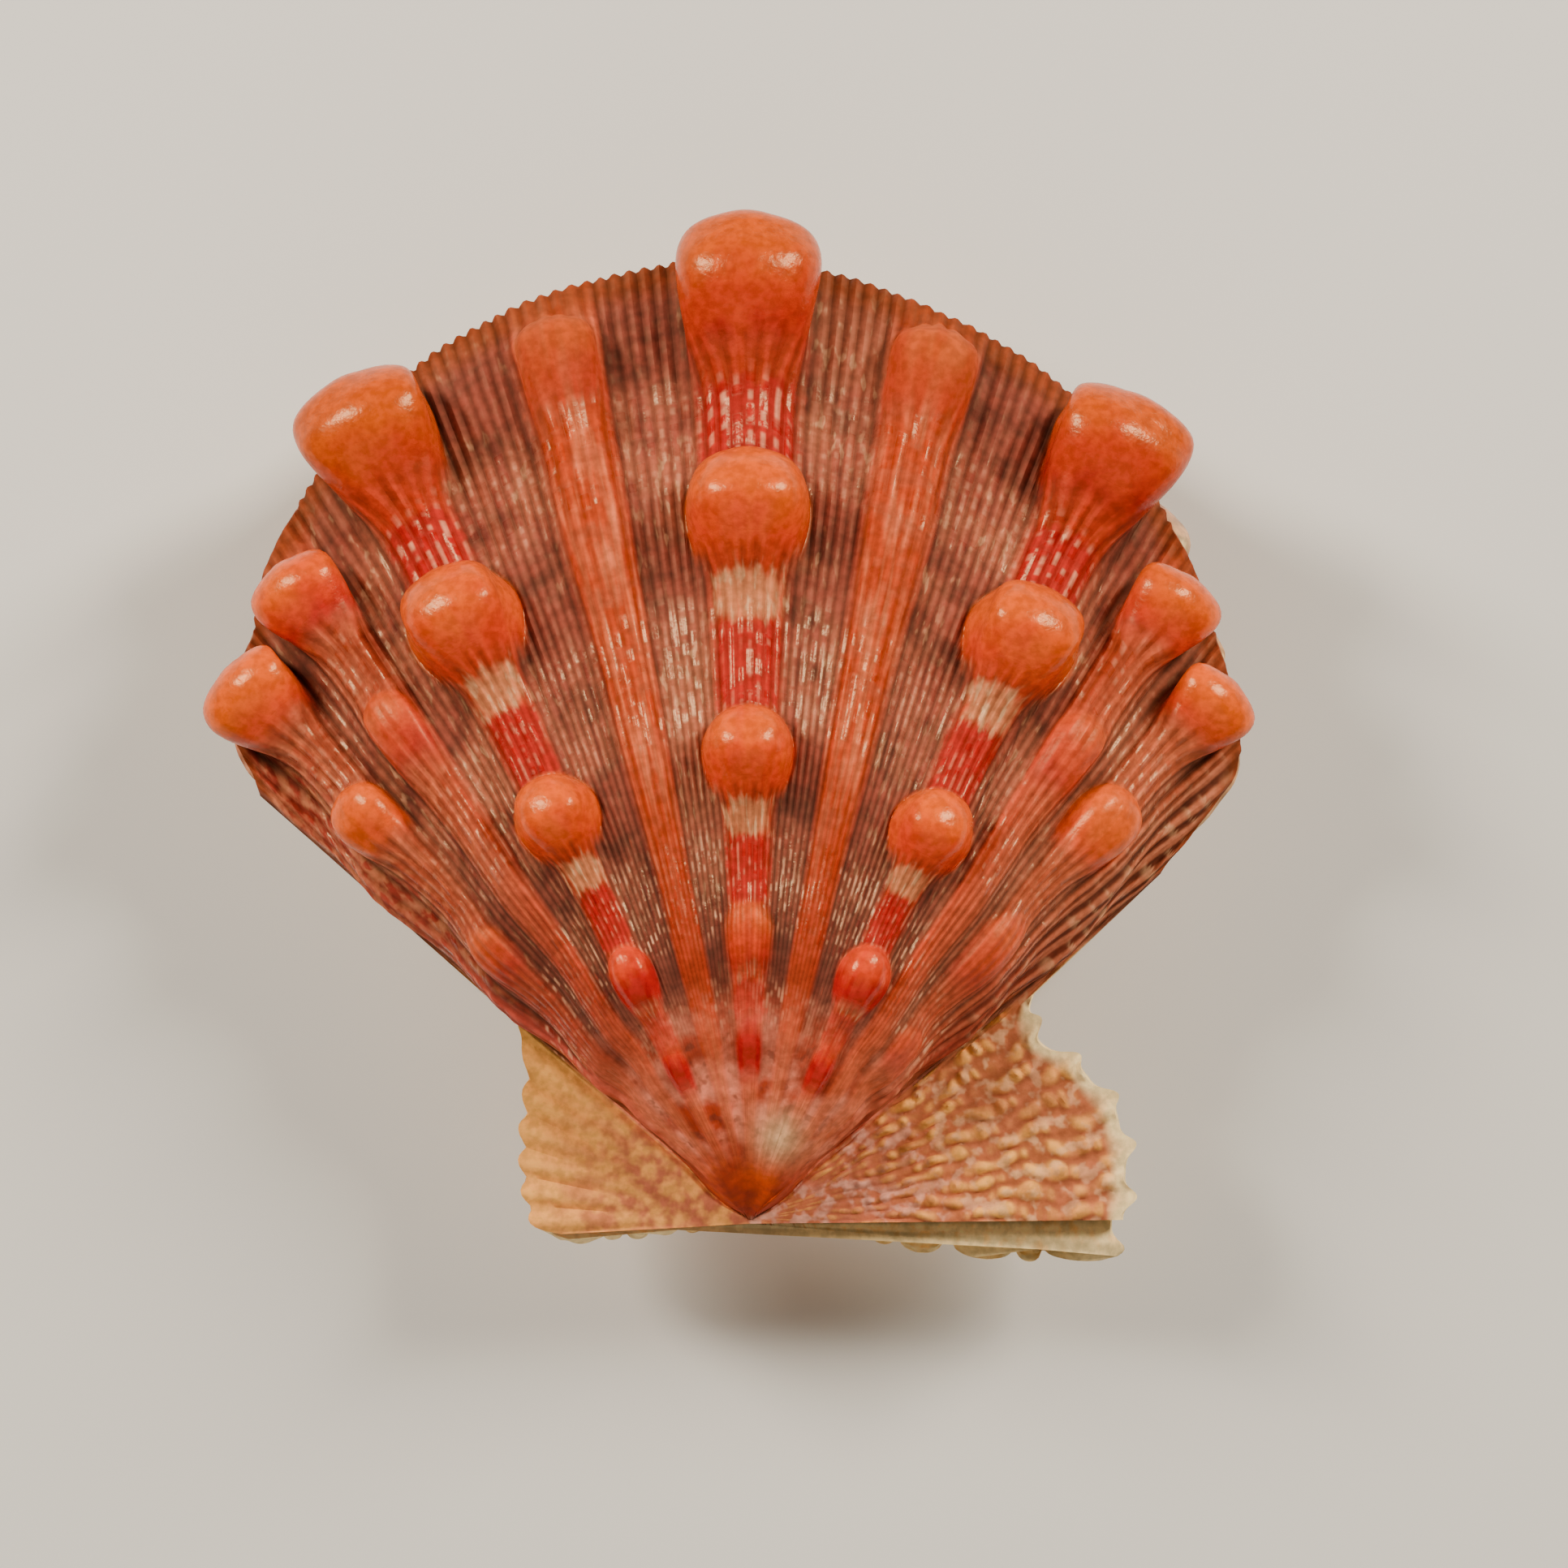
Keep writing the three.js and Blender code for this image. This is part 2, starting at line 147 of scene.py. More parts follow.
# shares of the way out where the shell swells, at the rows of knobs
STAGES = (0, 0.1, 0.185, 0.28, 0.48, 0.735, 0.97)
STAGE_SWELL = 0.45
PALE_SPOT = (1.9, 5.4)  # a pale spot beside the beak
PALE_SPOT_SPREAD = 2.2
GROWTH_STEPS = (0.09, 0.15, 0.215, 0.285, 0.35, 0.42, 0.5, 0.565, 0.64, 0.7, 0.765, 0.83, 0.89, 0.94)
TERRACE_RISE = 0.12

# Corners of the ears' edges, from the hinge to the flank on the left and back on the right
UPPER_EARS = (
    ((-12.6, -1.05), (-13.9, -0.5), (-14.6, 1.2), (-14.9, 3.8), (-14.9, 6), (-14.7, 8.5),
     (-14.9, 11.3), (-15.6, 13.0)),
    ((19.0, 15.0), (18.6, 13.5), (19.1, 12.1), (20.5, 11.0), (22.2, 9.9), (23.3, 8.5),
     (24.5, 7.0), (24.8, 5.2), (25.1, 3.6), (24.9, 1.5), (24.9, -0.1)),
)
LOWER_EARS = (
    ((-12.3, -1.4), (-13.6, -0.8), (-14.3, 1.2), (-14.6, 3.8), (-14.6, 6), (-14.4, 8.5),
     (-14.5, 11.0), (-15.0, 12.6)),
    ((17.0, 14.0), (15.8, 12.0), (16.4, 10.4), (19.0, 9.4), (21.8, 8.6), (23.4, 7.4),
     (24.2, 5.2), (24.4, 3.0), (24.3, 0.5), (24.2, -2.5)),
)
LEFT_EAR_RIBLETS = (-50.2, -7.4)  # first edge and pitch, in degrees
RIGHT_EAR_ROWS = (51.7, 3.9)
NODULE_LENGTH = 1.25
EAR_RELIEF = 0.5
# how far the edge's beads and teeth stand out
DISC_TEETH = 0.32
LEFT_EAR_TEETH = 0.75
RIGHT_EAR_TEETH = 1.1
# pale lumps along the hinge: distance from the beak, half width and depth
LEDGE_LUMPS = ((-11.4, 0.8, 0.4), (-9.3, 0.6, 0.3), (-7.6, 0.7, 0.4), (-5.7, 0.6, 0.3), (-3.9, 0.5, 0.3),
               (4.6, 0.5, 0.3), (7.1, 0.7, 0.45), (9.0, 0.8, 0.6), (11.5, 1.5, 0.95), (15.7, 2.1, 1.0),
               (18.8, 0.9, 0.9), (22.1, 2.2, 0.55))

UPPER = {"node": "upper_valve", "side": 1, "crown": 0.72, "ears": UPPER_EARS}
LOWER = {"node": "lower_valve", "side": -1, "crown": 0.78, "ears": LOWER_EARS}

DISC_COLUMNS = 545
FLANK_COLUMNS = 12
EAR_COLUMNS = (48, 92)
OUTER_ROWS = 130
INNER_ROWS = 6
# shares of the way out where rows are closer, and over what spread
DENSE_ROWS = ((0, 0.04), (0.3, 0.04), (0.49, 0.05), (0.75, 0.06), (0.96, 0.06))
MERGE_DISTANCE = 1e-7
SMOOTH_ANGLE = 50

FLOOR_SIZE = 3
FLOOR_COLOUR = (0.78, 0.77, 0.75, 1)
FLOOR_ROUGHNESS = 0.7
SKY_COLOUR = (1, 0.98, 0.95, 1)
SKY_STRENGTH = 0.03
LAMP_COLOUR = (1.0, 0.9, 0.75)
# place, power, width and height
LAMPS = {
    "left_lamp": ((-0.42, 0.26, 0.39), 4.8, 0.13, 0.3),
    "right_lamp": ((0.4, 0.29, 0.39), 4.8, 0.13, 0.3),
    "fill_lamp": ((0, -0.55, 0.45), 1.4, 0.8, 0.8),
}
PHOTO_SCALE = 0.055  # millimetres for each pixel of the 1932 pixel square picture
PHOTO_SIZE = 1932
BEAK_PIXEL = (925, 1500)
CAMERA_DISTANCE = 420
CAMERA_ELEVATION = 86
CLIP_START = 0.01


def colour(name, words, tint):
    return bpy.props.FloatVectorProperty(
        name=name, description=words, subtype="COLOR", size=4, min=0, max=1, default=(*tint, 1.0)
    )


def length(name, words, value):
    return bpy.props.FloatProperty(
        name=name, description=words, default=value, min=0, precision=5, unit="LENGTH"
    )


class ScallopSizes(bpy.types.PropertyGroup):
    """Sizes of both valves."""

    disc_radius: length("Disc radius", "Radius of the round margin", 0.0344)
    upper_bulge: length("Upper bulge", "Height of the upper valve's smooth bulge", 0.0112)
    lower_bulge: length("Lower bulge", "Depth of the lower valve's smooth bulge", 0.0096)
    rib_rise: length("Rib rise", "Height of a rib at the margin", 0.0022)
    riblet_rise: length("Riblet rise", "Height of the fine riblets at the margin", 0.0001)


class ScallopColours(bpy.types.PropertyGroup):
    """Colours of both valves."""

    knob: colour("Knob", "Yellow orange of the warmest knobs", (0.8, 0.1, 0.0))
    knob_red: colour("Red knob", "Red of the coolest knobs", (0.72, 0.045, 0.008))
    rib: colour("Rib", "Red-orange of the knobbed ribs", (0.42, 0.032, 0.01))
    rib_brown: colour("Brown rib", "Muted red-brown of the ribs beside the flanks", (0.46, 0.075, 0.03))
    # its darkness is partly painted shade, set for the steep back flank turned from the light
    flank: colour("Flank", "Dark red-brown of the steep flanks", (0.09, 0.009, 0.006))
    flank_red: colour("Flank red", "Crimson of the outer ribs near the beak", (0.34, 0.026, 0.016))
    ridge: colour("Flank ridge", "The ridge along the back flank", (0.62, 0.07, 0.05))
    skirt: colour("Skirt", "Salmon tan on the inner side of the knobs", (0.72, 0.24, 0.1))
    plain_rib: colour("Plain rib", "Salmon orange of the two smooth ribs", (0.5, 0.042, 0.006))
    salmon: colour("Salmon", "Pale streaks along the smooth ribs", (0.82, 0.19, 0.075))
    saddle: colour("Saddle", "Crimson outside each knob", (0.46, 0.006, 0.008))
    cream: colour("Cream", "Pale flecks and bands", (0.88, 0.5, 0.26))
    # painted highlight: the pale beads stand for the lamps' glints on the riblets
    bead: colour("Bead", "Pale beads along the riblets", (1.0, 0.52, 0.3))
    gap: colour("Gap", "Brown-mauve between the ribs", (0.3, 0.062, 0.04))
    gap_dark: colour("Dark gap", "Purple-brown patches between the ribs", (0.1, 0.023, 0.018))
    gap_tan: colour("Tan gap", "Lighter growth bands between the ribs", (0.52, 0.15, 0.075))
    beak: colour("Beak", "Salmon pink round the beak", (1.0, 0.28, 0.17))
    tip: colour("Tip", "Orange at the beak's tip", (0.6, 0.05, 0.0))
    edge: colour("Edge", "Orange brown along the margin", (0.25, 0.038, 0.007))
    ear: colour("Ear", "Ochre of the ears", (1.0, 0.46, 0.1))
    ear_pink: colour("Pink ear", "Mauve-pink on the ears near the beak", (0.48, 0.12, 0.07))
    frost: colour("Frost", "Pale pink on the front ear beside the beak", (0.78, 0.38, 0.28))
    ear_brown: colour("Brown ear", "Brown between the ears' scales", (0.48, 0.13, 0.05))
    pale: colour("Pale", "Pale ground of the lower valve", (0.95, 0.72, 0.36))
    inside: colour("Inside", "White of the inner faces", (0.75, 0.65, 0.55))


def polar(x, y):
    """The angle from the middle ray, in degrees, and the distance from the beak."""
    return np.degrees(np.arctan2(x, y)), np.hypot(x, y)


def smoothstep(x, low, high):
    t = np.clip((x - low) / (high - low), 0, 1)
    return t * t * (3 - 2 * t)


def plateau(x, a, b, c, d):
    """0 outside a to d, 1 from b to c."""
    return smoothstep(x, a, b) * (1 - smoothstep(x, c, d))


def flank_share(angle, distance=BEAK_REACH):
    """0 on the middle ray and 1 on a flank; round the beak the flanks stand wider apart."""
    spread = 1 + BEAK_SPREAD * (1 - smoothstep(distance, 0, BEAK_REACH))
    return np.where(angle < 0, angle / FLANK[0], angle / FLANK[1]) / spread


def disc_reach(angle, radius):
    """Distance from the beak to the margin along a ray."""
    turn = np.radians(np.clip(angle, *FLANK))
    along = DISC_CENTRE[0] * np.sin(turn) + DISC_CENTRE[1] * np.cos(turn)
    across = DISC_CENTRE[0] * np.cos(turn) - DISC_CENTRE[1] * np.sin(turn)
    corner = smoothstep(flank_share(angle), CORNER_START, 1)
    cut = np.where(angle < 0, CORNER_CUT[0], CORNER_CUT[1])
    return (along + np.sqrt(radius**2 - across**2)) * (1 - cut * corner)


def lower_ribs(radius):
    """The lower ribs stand in the gaps between the upper ones."""
    bounds = [FLANK[0], *(upper.angle for upper in UPPER_RIBS), FLANK[1]]
    ribs = []
    for left, right in zip(bounds, bounds[1:]):
        middle = (left + right) / 2
        reach = float(disc_reach(np.array(middle), radius))
        knobs = ()
        if abs(middle) < LOWER_KNOB_LIMIT:
            knobs = tuple(
                (t * reach, LOWER_KNOB_RADIUS * t * reach, LOWER_KNOB_RADIUS * t * reach, rise,
                 LOWER_KNOB_WARMTH)
                for t, rise in LOWER_KNOB_ROWS
            )
        ribs.append(new_rib(middle, LOWER_RIB_SHARE * (right - left), *knobs))
    return tuple(ribs)


def rib_side(rib, angle, distance):
    """1 on the top of a rib and 0 between ribs, which are closer together near the beak."""
    half = rib.half_width + RIB_SPREAD * (1 - smoothstep(distance, 12, 24))
    return 1 - smoothstep(np.abs(angle - rib.angle) / half, RIB_FLAT_TOP, RIB_FOOT)


class ValveForm:
    """The shape of one valve, as formulas over the plan of the shell."""

    def __init__(self, valve, sizes):
        self.valve = valve
        self.side = valve["side"]
        self.radius = sizes.disc_radius / MM
        self.reach = DISC_CENTRE[1] + self.radius
        self.rib_rise = sizes.rib_rise / MM
        self.riblet_rise = sizes.riblet_rise / MM
        upper = self.side > 0
        self.bulge = (sizes.upper_bulge if upper else sizes.lower_bulge) / MM
        self.ribs = UPPER_RIBS if upper else lower_ribs(self.radius)

    def bulge_height(self, angle, distance, flank):
        across = np.clip(1 - np.abs(flank) ** FLANK_STEEPNESS, 0, 1)
        share = distance / disc_reach(angle, self.radius)
        arc = np.sin(np.pi * np.clip(share, 0, 1) ** self.valve["crown"])
        return self.bulge * across**FLANK_ROUNDING * np.clip(arc, 0, 1) ** CROWN_ROUNDING

    def margin_wave(self, angle, share):
        """The margin rises at the upper ribs and sinks between them, the same on both valves."""
        upper = np.max([rib_side(rib, angle, FAR_OUT) for rib in UPPER_RIBS], axis=0)
        on_disc = 1 - smoothstep(flank_share(angle), 0.95, 1)
        return MARGIN_WAVE * (upper - 0.5) * np.clip(share, 0, 1) ** 3 * on_disc

    def smooth_height(self, x, y):
        """Height of the valve's face with no ribs, signed."""
        angle, distance = polar(x, y)
        flank = flank_share(angle, distance)
        ear = EAR_STEP * smoothstep(np.abs(flank), 1.0, 1.12)
        height = VALVE_GAP / 2 + LIP + self.bulge_height(angle, distance, flank) + ear
        return self.side * height + self.margin_wave(angle, distance / disc_reach(angle, self.radius))

    def lean(self, x, y):
        """The direction in which ribs and knobs stand up."""
        angle, distance = polar(x, y)
        share = distance / disc_reach(angle, self.radius)
        inward = np.minimum(1, LEAN_REACH / np.maximum(share, NEARLY_ZERO))
        x, y, step = x * inward, y * inward, LEAN_STEP
        slope_x = (self.smooth_height(x + step, y) - self.smooth_height(x - step, y)) / (2 * step)
        slope_y = (self.smooth_height(x, y + step) - self.smooth_height(x, y - step)) / (2 * step)
        steep = np.maximum(1, np.hypot(slope_x, slope_y) / STEEPEST)
        normal = np.stack([
            -slope_x / steep * RELIEF_LEAN, -slope_y / steep * RELIEF_LEAN, np.ones_like(x),
        ], axis=-1) * self.side
        return normal / np.linalg.norm(normal, axis=-1, keepdims=True)

    def crest(self, rib, distance):
        """A rib's rise, which sinks in a saddle outside each knob."""
        rise = self.rib_rise * (distance / self.reach) ** RIB_GROWTH
        if not rib.knobs:
            return rise
        last = rib.knobs[-1]
        rise = rise * (1 - smoothstep((distance - last.distance) / last.half_length, 0.2, 0.95))
        if len(rib.knobs) == 1:
            return rise * PLAIN_RIB_SHARE
        return rise * np.interp(self.between_knobs(rib, distance), *zip(*SADDLE))

    def between_knobs(self, rib, distance):
        """0 on each knob, growing to 1 just before the next one out."""
        places = np.array([0, *(knob.distance for knob in rib.knobs), self.reach * 1.2])
        return step_share(places, distance)

    def edge_points(self):
        """Points on the valve's edge in plan, from the left hinge corner round to the right one."""
        left, right = (smooth_curve(points, n) for points, n in zip(self.valve["ears"], EAR_COLUMNS))
        angle = np.linspace(*FLANK, DISC_COLUMNS)
        reach = disc_reach(angle, self.radius) + np.interp(angle, *zip(*MARGIN_TRIM))
        foot = math.sin(math.radians(BULB_TURN))
        for rib in self.ribs if self.side > 0 else ():
            at, wide, long = rib.knobs[-1][:3]
            across = np.radians(angle - rib.angle) * at / (wide * foot)
            bulb = at + long * foot * np.clip(1 - np.abs(across) ** KNOB_POINT, 0, 1) ** (1 / KNOB_POINT)
            reach = np.where(np.abs(across) < 1, np.maximum(reach, bulb), reach)
        turn = np.radians(angle)
        disc = np.stack([reach * np.sin(turn), reach * np.cos(turn)], axis=1)
        steps = np.linspace(0, 1, FLANK_COLUMNS + 2)[1:-1, None]
        left_flank = left[-1] + (disc[0] - left[-1]) * steps
        right_flank = disc[-1] + (right[0] - disc[-1]) * steps
        return np.concatenate([left, left_flank, disc, right_flank, right])


def step_share(places, value):
    """0 at each place, growing to 1 just before the next one."""
    index = np.clip(np.searchsorted(places, value, side="right") - 1, 0, len(places) - 2)
    return np.clip((value - places[index]) / (places[index + 1] - places[index]), 0, 1)


def smooth_curve(points, count):
    """Points evenly spaced along a smooth curve through corner points."""
    p = np.array(points, float)
    p = np.vstack([2 * p[0] - p[1], p, 2 * p[-1] - p[-2]])
    fine = []
    for a, b, c, d in zip(p, p[1:], p[2:], p[3:]):
        t = np.linspace(0, 1, 20, endpoint=False)[:, None]
        fine.append(0.5 * (2 * b + (c - a) * t + (2 * a - 5 * b + 4 * c - d) * t**2
                           + (3 * b - a - 3 * c + d) * t**3))
    fine = np.vstack([*fine, p[-2][None]])
    run = np.concatenate([[0], np.cumsum(np.linalg.norm(np.diff(fine, axis=0), axis=1))])
    even = np.linspace(0, run[-1], count)
    return np.stack([np.interp(even, run, fine[:, k]) for k in (0, 1)], axis=1)


def fan_rows():
    """Shares of the way out for the outer rows, closer together where knobs and the margin are."""
    t = np.linspace(0, 1, 2000)
    weight = 0.7 + sum(1.2 * np.exp(-(((t - place) / spread) ** 2)) for place, spread in DENSE_ROWS)
    run = np.cumsum(weight)
    run = (run - run[0]) / (run[-1] - run[0])
    return np.interp(np.linspace(0, 1, OUTER_ROWS), run, t)


def fan_points(edge, t):
    """Plan places of a fan from the apex to an edge, with their angles and distances."""
    x = APEX[0] + (edge[:, 0] - APEX[0]) * t
    y = APEX[1] + (edge[:, 1] - APEX[1]) * t
    return x, y, *polar(x, y)


def fan_map(angle, t):
    """The map of a fan: its angle and its share of the way out."""
    return np.stack([angle / MAP_TURN + 0.5, np.broadcast_to(t, angle.shape)], axis=-1)


def soften(field, times_across, times_along):
    """Smooths a field of the fan's grid across columns and along rows."""
    for axis, times in ((1, times_across), (0, times_along)):
        for _ in range(times):
            ends = [(0, 0), (0, 0)]
            ends[axis] = (1, 1)
            padded = np.pad(field, ends, mode="edge")
            low = np.take(padded, range(0, field.shape[axis]), axis=axis)
            high = np.take(padded, range(2, field.shape[axis] + 2), axis=axis)
            field = (low + 2 * field + high) / 4
    return field


def riblet_profile(phase):
    """Round tops and narrow floors, 0 to 1."""
    return (0.5 + 0.5 * np.cos(2 * np.pi * phase)) ** 0.7


def is_bulb(rib, knob):
    """The outermost knob of a knobbed rib is a ball that stands out over the margin."""
    return len(rib.knobs) > 1 and knob is rib.knobs[-1]


def knob_swell(rib, knob, angle, distance):
    """A knob's lift, its place along the rib, its body, its smooth part, and its swell both ways."""
    at, wide, long, rise, warmth = knob
    bulb = is_bulb(rib, knob)
    turn = math.radians(BULB_TURN if bulb else KNOB_TURN)
    foot = math.sin(turn)
    along = (distance - at) / (long * foot)
    slight = 1 - min(1, rise / FULL_RISE)
    tail = smoothstep(-along, 0, BULB_TAIL if bulb else KNOB_TAIL * (1 + slight))
    width = np.maximum(wide * foot + (np.radians(rib.half_width) * distance - wide * foot) * tail, 0.05)
    across = np.radians(angle - rib.angle) * distance / width
    outer = np.clip(along, 0, None)
    ball = (np.abs(across) ** KNOB_POINT + outer**KNOB_POINT) ** (1 / KNOB_POINT)
    away = np.clip(ball * (1 + 0.02 * np.sin(3 * np.arctan2(across, along) + 1.7 * at)), NEARLY_ZERO, 1)
    lift = (np.cos(away * turn) - math.cos(turn)) / (1 - math.cos(turn)) * (1 - tail)
    grow = (np.sin(away * turn) / (away * foot) - 1) * (1 - tail) * min(1, 1.2 * rise / wide)
    body = 1 - smoothstep(ball, 0.98 - 0.45 * slight, 1.1 + 0.1 * slight)
    body = body * (1 - smoothstep(tail, 0.3, 0.85))
    if warmth > 0:
        body = body * (1 - 0.55 * slight)
    smooth = (1 - smoothstep(ball, 1.0, 1.15)) * (1 - smoothstep(tail, 0.05, 0.6)) * (1 - slight)
    return lift, along, body, smooth, across * width * grow, outer * long * foot * grow


def growth_terraces(share, angle):
    """Low terraces, each rising outwards to a growth line where it drops."""
    share = share + 0.007 * np.sin(angle * 0.33) + 0.004 * np.sin(angle * 0.83 + 2)
    return step_share(np.array([0, *GROWTH_STEPS, 1.02]), share)


def ear_nodules(angle, distance):
    """The front ear's rows of nodules: the rows' crests and the nodules on them."""
    row = (angle - RIGHT_EAR_ROWS[0]) / RIGHT_EAR_ROWS[1] + 0.2 * np.sin(0.9 * distance + 0.2 * angle)
    row = row + 0.08 * np.sin(2.7 * distance - 0.45 * angle)
    crest = riblet_profile(row + 0.5)
    index = np.floor(row)
    run = distance + 0.62 * index + 0.42 * np.sin(1.3 * distance + 2.1 * index)
    bead = 0.5 + 0.5 * np.cos(2 * np.pi * run / NODULE_LENGTH)
    bold = 0.65 + 0.5 * np.sin(1.1 * run + 1.7 * index)
    return crest, crest**0.8 * (0.3 + 0.7 * bead) * bold


def rib_fields(form, angle, distance, share):
    """What the ribs and knobs leave on the fan: heights, sideways swell, polish and colour marks."""
    field = {name: np.zeros_like(angle) for name in (
        "rib", "plain", "knob", "saddle", "cream", "warmth", "rise", "lift", "polish", "push_x", "push_y")}

    def raise_to(name, values):
        field[name] = np.maximum(field[name], values)

    for rib in form.ribs:
        side = rib_side(rib, angle, distance)
        raise_to("rise", side * form.crest(rib, distance))
        raise_to("rib", side)
        if len(rib.knobs) == 1:
            raise_to("plain", side)
        if len(rib.knobs) >= STRONG_RIB_KNOBS:
            step = form.between_knobs(rib, distance)
            first = rib.knobs[0].distance
            outside = side * smoothstep(distance, first - 1, first + 0.5)
            raise_to("saddle", outside * plateau(step, 0.1, 0.2, 0.46, 0.6))
            pale = outside * plateau(step, 0.48, 0.57, 0.66, 0.78)
            raise_to("cream", pale * plateau(share, 0.2, 0.3, 0.7, 0.76))
        cos = math.cos(math.radians(rib.angle))
        sin = math.sin(math.radians(rib.angle))
        for knob in rib.knobs:
            lift, along, body, smooth, wide, out = knob_swell(rib, knob, angle, distance)
            raise_to("lift", lift * knob.rise)
            warming = BULB_WARMING if is_bulb(rib, knob) else KNOB_WARMING
            # redder towards the beak: partly the knob's own colour, partly painted shade on its lower side
            warm = knob.warmth + warming * np.clip(along + 0.15, -1.2, 0.4)
            field["warmth"] = np.where(body > field["knob"], warm, field["warmth"])
            raise_to("knob", body)
            raise_to("polish", smooth)
            field["push_x"] += wide * cos + out * sin
            field["push_y"] += out * cos - wide * sin
    return field


def flank_cords(angle, distance, out_share):
    """The cords along the flanks: their rise, where they lie and the scales on them."""
    rise = place = scales = np.zeros_like(angle)
    for at, half, height, scaled in FLANK_CORDS:
        lean = at * (1 - CORD_LEAN * (1 - smoothstep(distance, 6, 20)))
        cord = 1 - smoothstep(np.abs(angle - lean) / half, 0.2, 1.2)
        cord = cord * smoothstep(distance, 3, 8)
        step = ((distance + 0.37 * at + np.sin(0.7 * distance + at)) / CORD_SCALE) % 1.0
        tall = height * (0.6 + 0.4 * out_share) * (1 - 0.55 * scaled * (1 - step))
        rise = np.maximum(rise, cord * tall)
        place = np.maximum(place, cord)
        scales = np.maximum(scales, cord * scaled * smoothstep(step, 0.5, 0.95))
    return rise, place, scales


def outer_face(form):
    """Places and marks of the outer face, as rows by columns, and its map."""
    t = fan_rows()[:, None]
    x, y, angle, distance = fan_points(form.edge_points(), t)
    t = np.broadcast_to(t, x.shape)
    out_share = np.clip(distance / form.reach, 0, 1.1)
    share = distance / disc_reach(angle, form.radius)
    flank = np.abs(flank_share(angle, distance))
    on_disc = 1 - smoothstep(flank, *DISC_END)
    on_ear = smoothstep(flank, *EAR_START)
    front = angle > 0

    field = rib_fields(form, angle, distance, share)
    scaly = np.zeros_like(x)
    if form.side > 0:
        cord_rise, cord, scaly = flank_cords(angle, distance, out_share)
        field["rise"] = np.maximum(field["rise"], cord_rise)
        field["rib"] = np.maximum(field["rib"], 0.7 * cord)
    relief = soften((field["rise"] * smoothstep(distance, 1.5, 7) + field["lift"]) * on_disc, 3, 1)
    # painted shade: how far each place lies below the softened relief round it, for darkening beside knobs
    # and ribs
    cavity_shade = np.clip((soften(relief, 40, 6) - relief) / 0.5, 0, 1)
    knob = field["polish"] * (1 - 0.85 * field["plain"])
    stage = np.interp(share, STAGES, range(len(STAGES)))
    swelling = STAGE_SWELL * out_share**0.42 * np.cos(2 * np.pi * stage) * smoothstep(distance, 6, 14)
    relief = relief + swelling * on_disc
    terrace = growth_terraces(share, angle)
    relief = relief + soften(TERRACE_RISE * out_share**0.5 * terrace * on_disc * (1 - knob), 1, 1)

    riblet = riblet_profile(angle / RIBLET_PITCH)
    riblet_growth = smoothstep(distance, *RIBLET_START)
    fine = form.riblet_rise * out_share**0.8 * (1 - 0.95 * knob) * (1 + smoothstep(flank, 0.82, 0.9))
    fine = fine * riblet_growth * on_disc
    left = riblet_profile((angle - LEFT_EAR_RIBLETS[0]) / LEFT_EAR_RIBLETS[1] + 0.5)
    right, nodule = ear_nodules(angle, distance)
    ear_rise = np.where(front, nodule * smoothstep(t, 0.1, 0.5), left * smoothstep(t, 0.25, 1))
    relief = relief + fine * riblet + on_ear * EAR_RELIEF * ear_rise

    x = x + field["push_x"] * on_disc
    y = y + field["push_y"] * on_disc
    bare = 1 - smoothstep(field["rib"] - field["plain"], 0.1, 0.4)
    tooth = riblet_profile((angle - RIGHT_EAR_ROWS[0]) / RIGHT_EAR_ROWS[1] / 2 + 0.5)
    teeth = DISC_TEETH * (riblet - 0.5) * bare * on_disc
    teeth = teeth + on_ear * np.where(front, RIGHT_EAR_TEETH * tooth**3, LEFT_EAR_TEETH * left**0.6)
    teeth = teeth * smoothstep(t, MARGIN_START, 1.0)
    spread = np.maximum(np.hypot(x, y), NEARLY_ZERO)
    x = x + x / spread * teeth
    y = y + y / spread * teeth
    if form.side < 0:
        y = y - ledge_lumps(x, angle)
    points = np.stack([x, y, form.smooth_height(x, y)], axis=-1) + form.lean(x, y) * relief[..., None]

    riblet = np.where(on_ear > 0.5, np.where(front, right, left), riblet)
    mark = {name: field[name] * on_disc for name in ("rib", "plain", "knob", "saddle", "cream")}
    mark.update({
        "warmth": field["warmth"],
        "within": np.zeros_like(x),
        "beak": 1 - smoothstep(distance, 7, 18),
        "inner": 1 - smoothstep(distance, 16, 34),
        "outer": smoothstep(share, 0.6, 0.95),
        "shine": plateau(stage % 1.0, 0.02, 0.12, 0.5, 0.7) * smoothstep(distance, 10, 18),
        "tip": 1 - smoothstep(distance, 2.5, 7),
        "pale_spot": np.exp(-((x - PALE_SPOT[0]) ** 2 + (y - PALE_SPOT[1]) ** 2) / PALE_SPOT_SPREAD),
        "muted": smoothstep(flank, 0.58, 0.76),
        "edge": smoothstep(t, MARGIN_START, 0.99),
        "ear": on_ear,
        "right": smoothstep(angle, -5, 5),
        "flank": smoothstep(flank, 0.86, 0.95) * on_disc,
        "riblet": 1 - (1 - riblet) * riblet_growth,
        "scale": np.where(on_ear > 0.5, nodule, scaly),
        "cavity_shade": cavity_shade,
    })
    return points, mark, fan_map(angle, t)


def ledge_lumps(x, angle):
    """Pale lumps along the lower valve's hinge, on both sides of the beak."""
    near = smoothstep(np.abs(angle), 86, 94)
    lumps = [depth * np.sqrt(np.clip(1 - ((x - place) / half) ** 2, 0, 1))
             for place, half, depth in LEDGE_LUMPS]
    return near * np.max(lumps, axis=0)


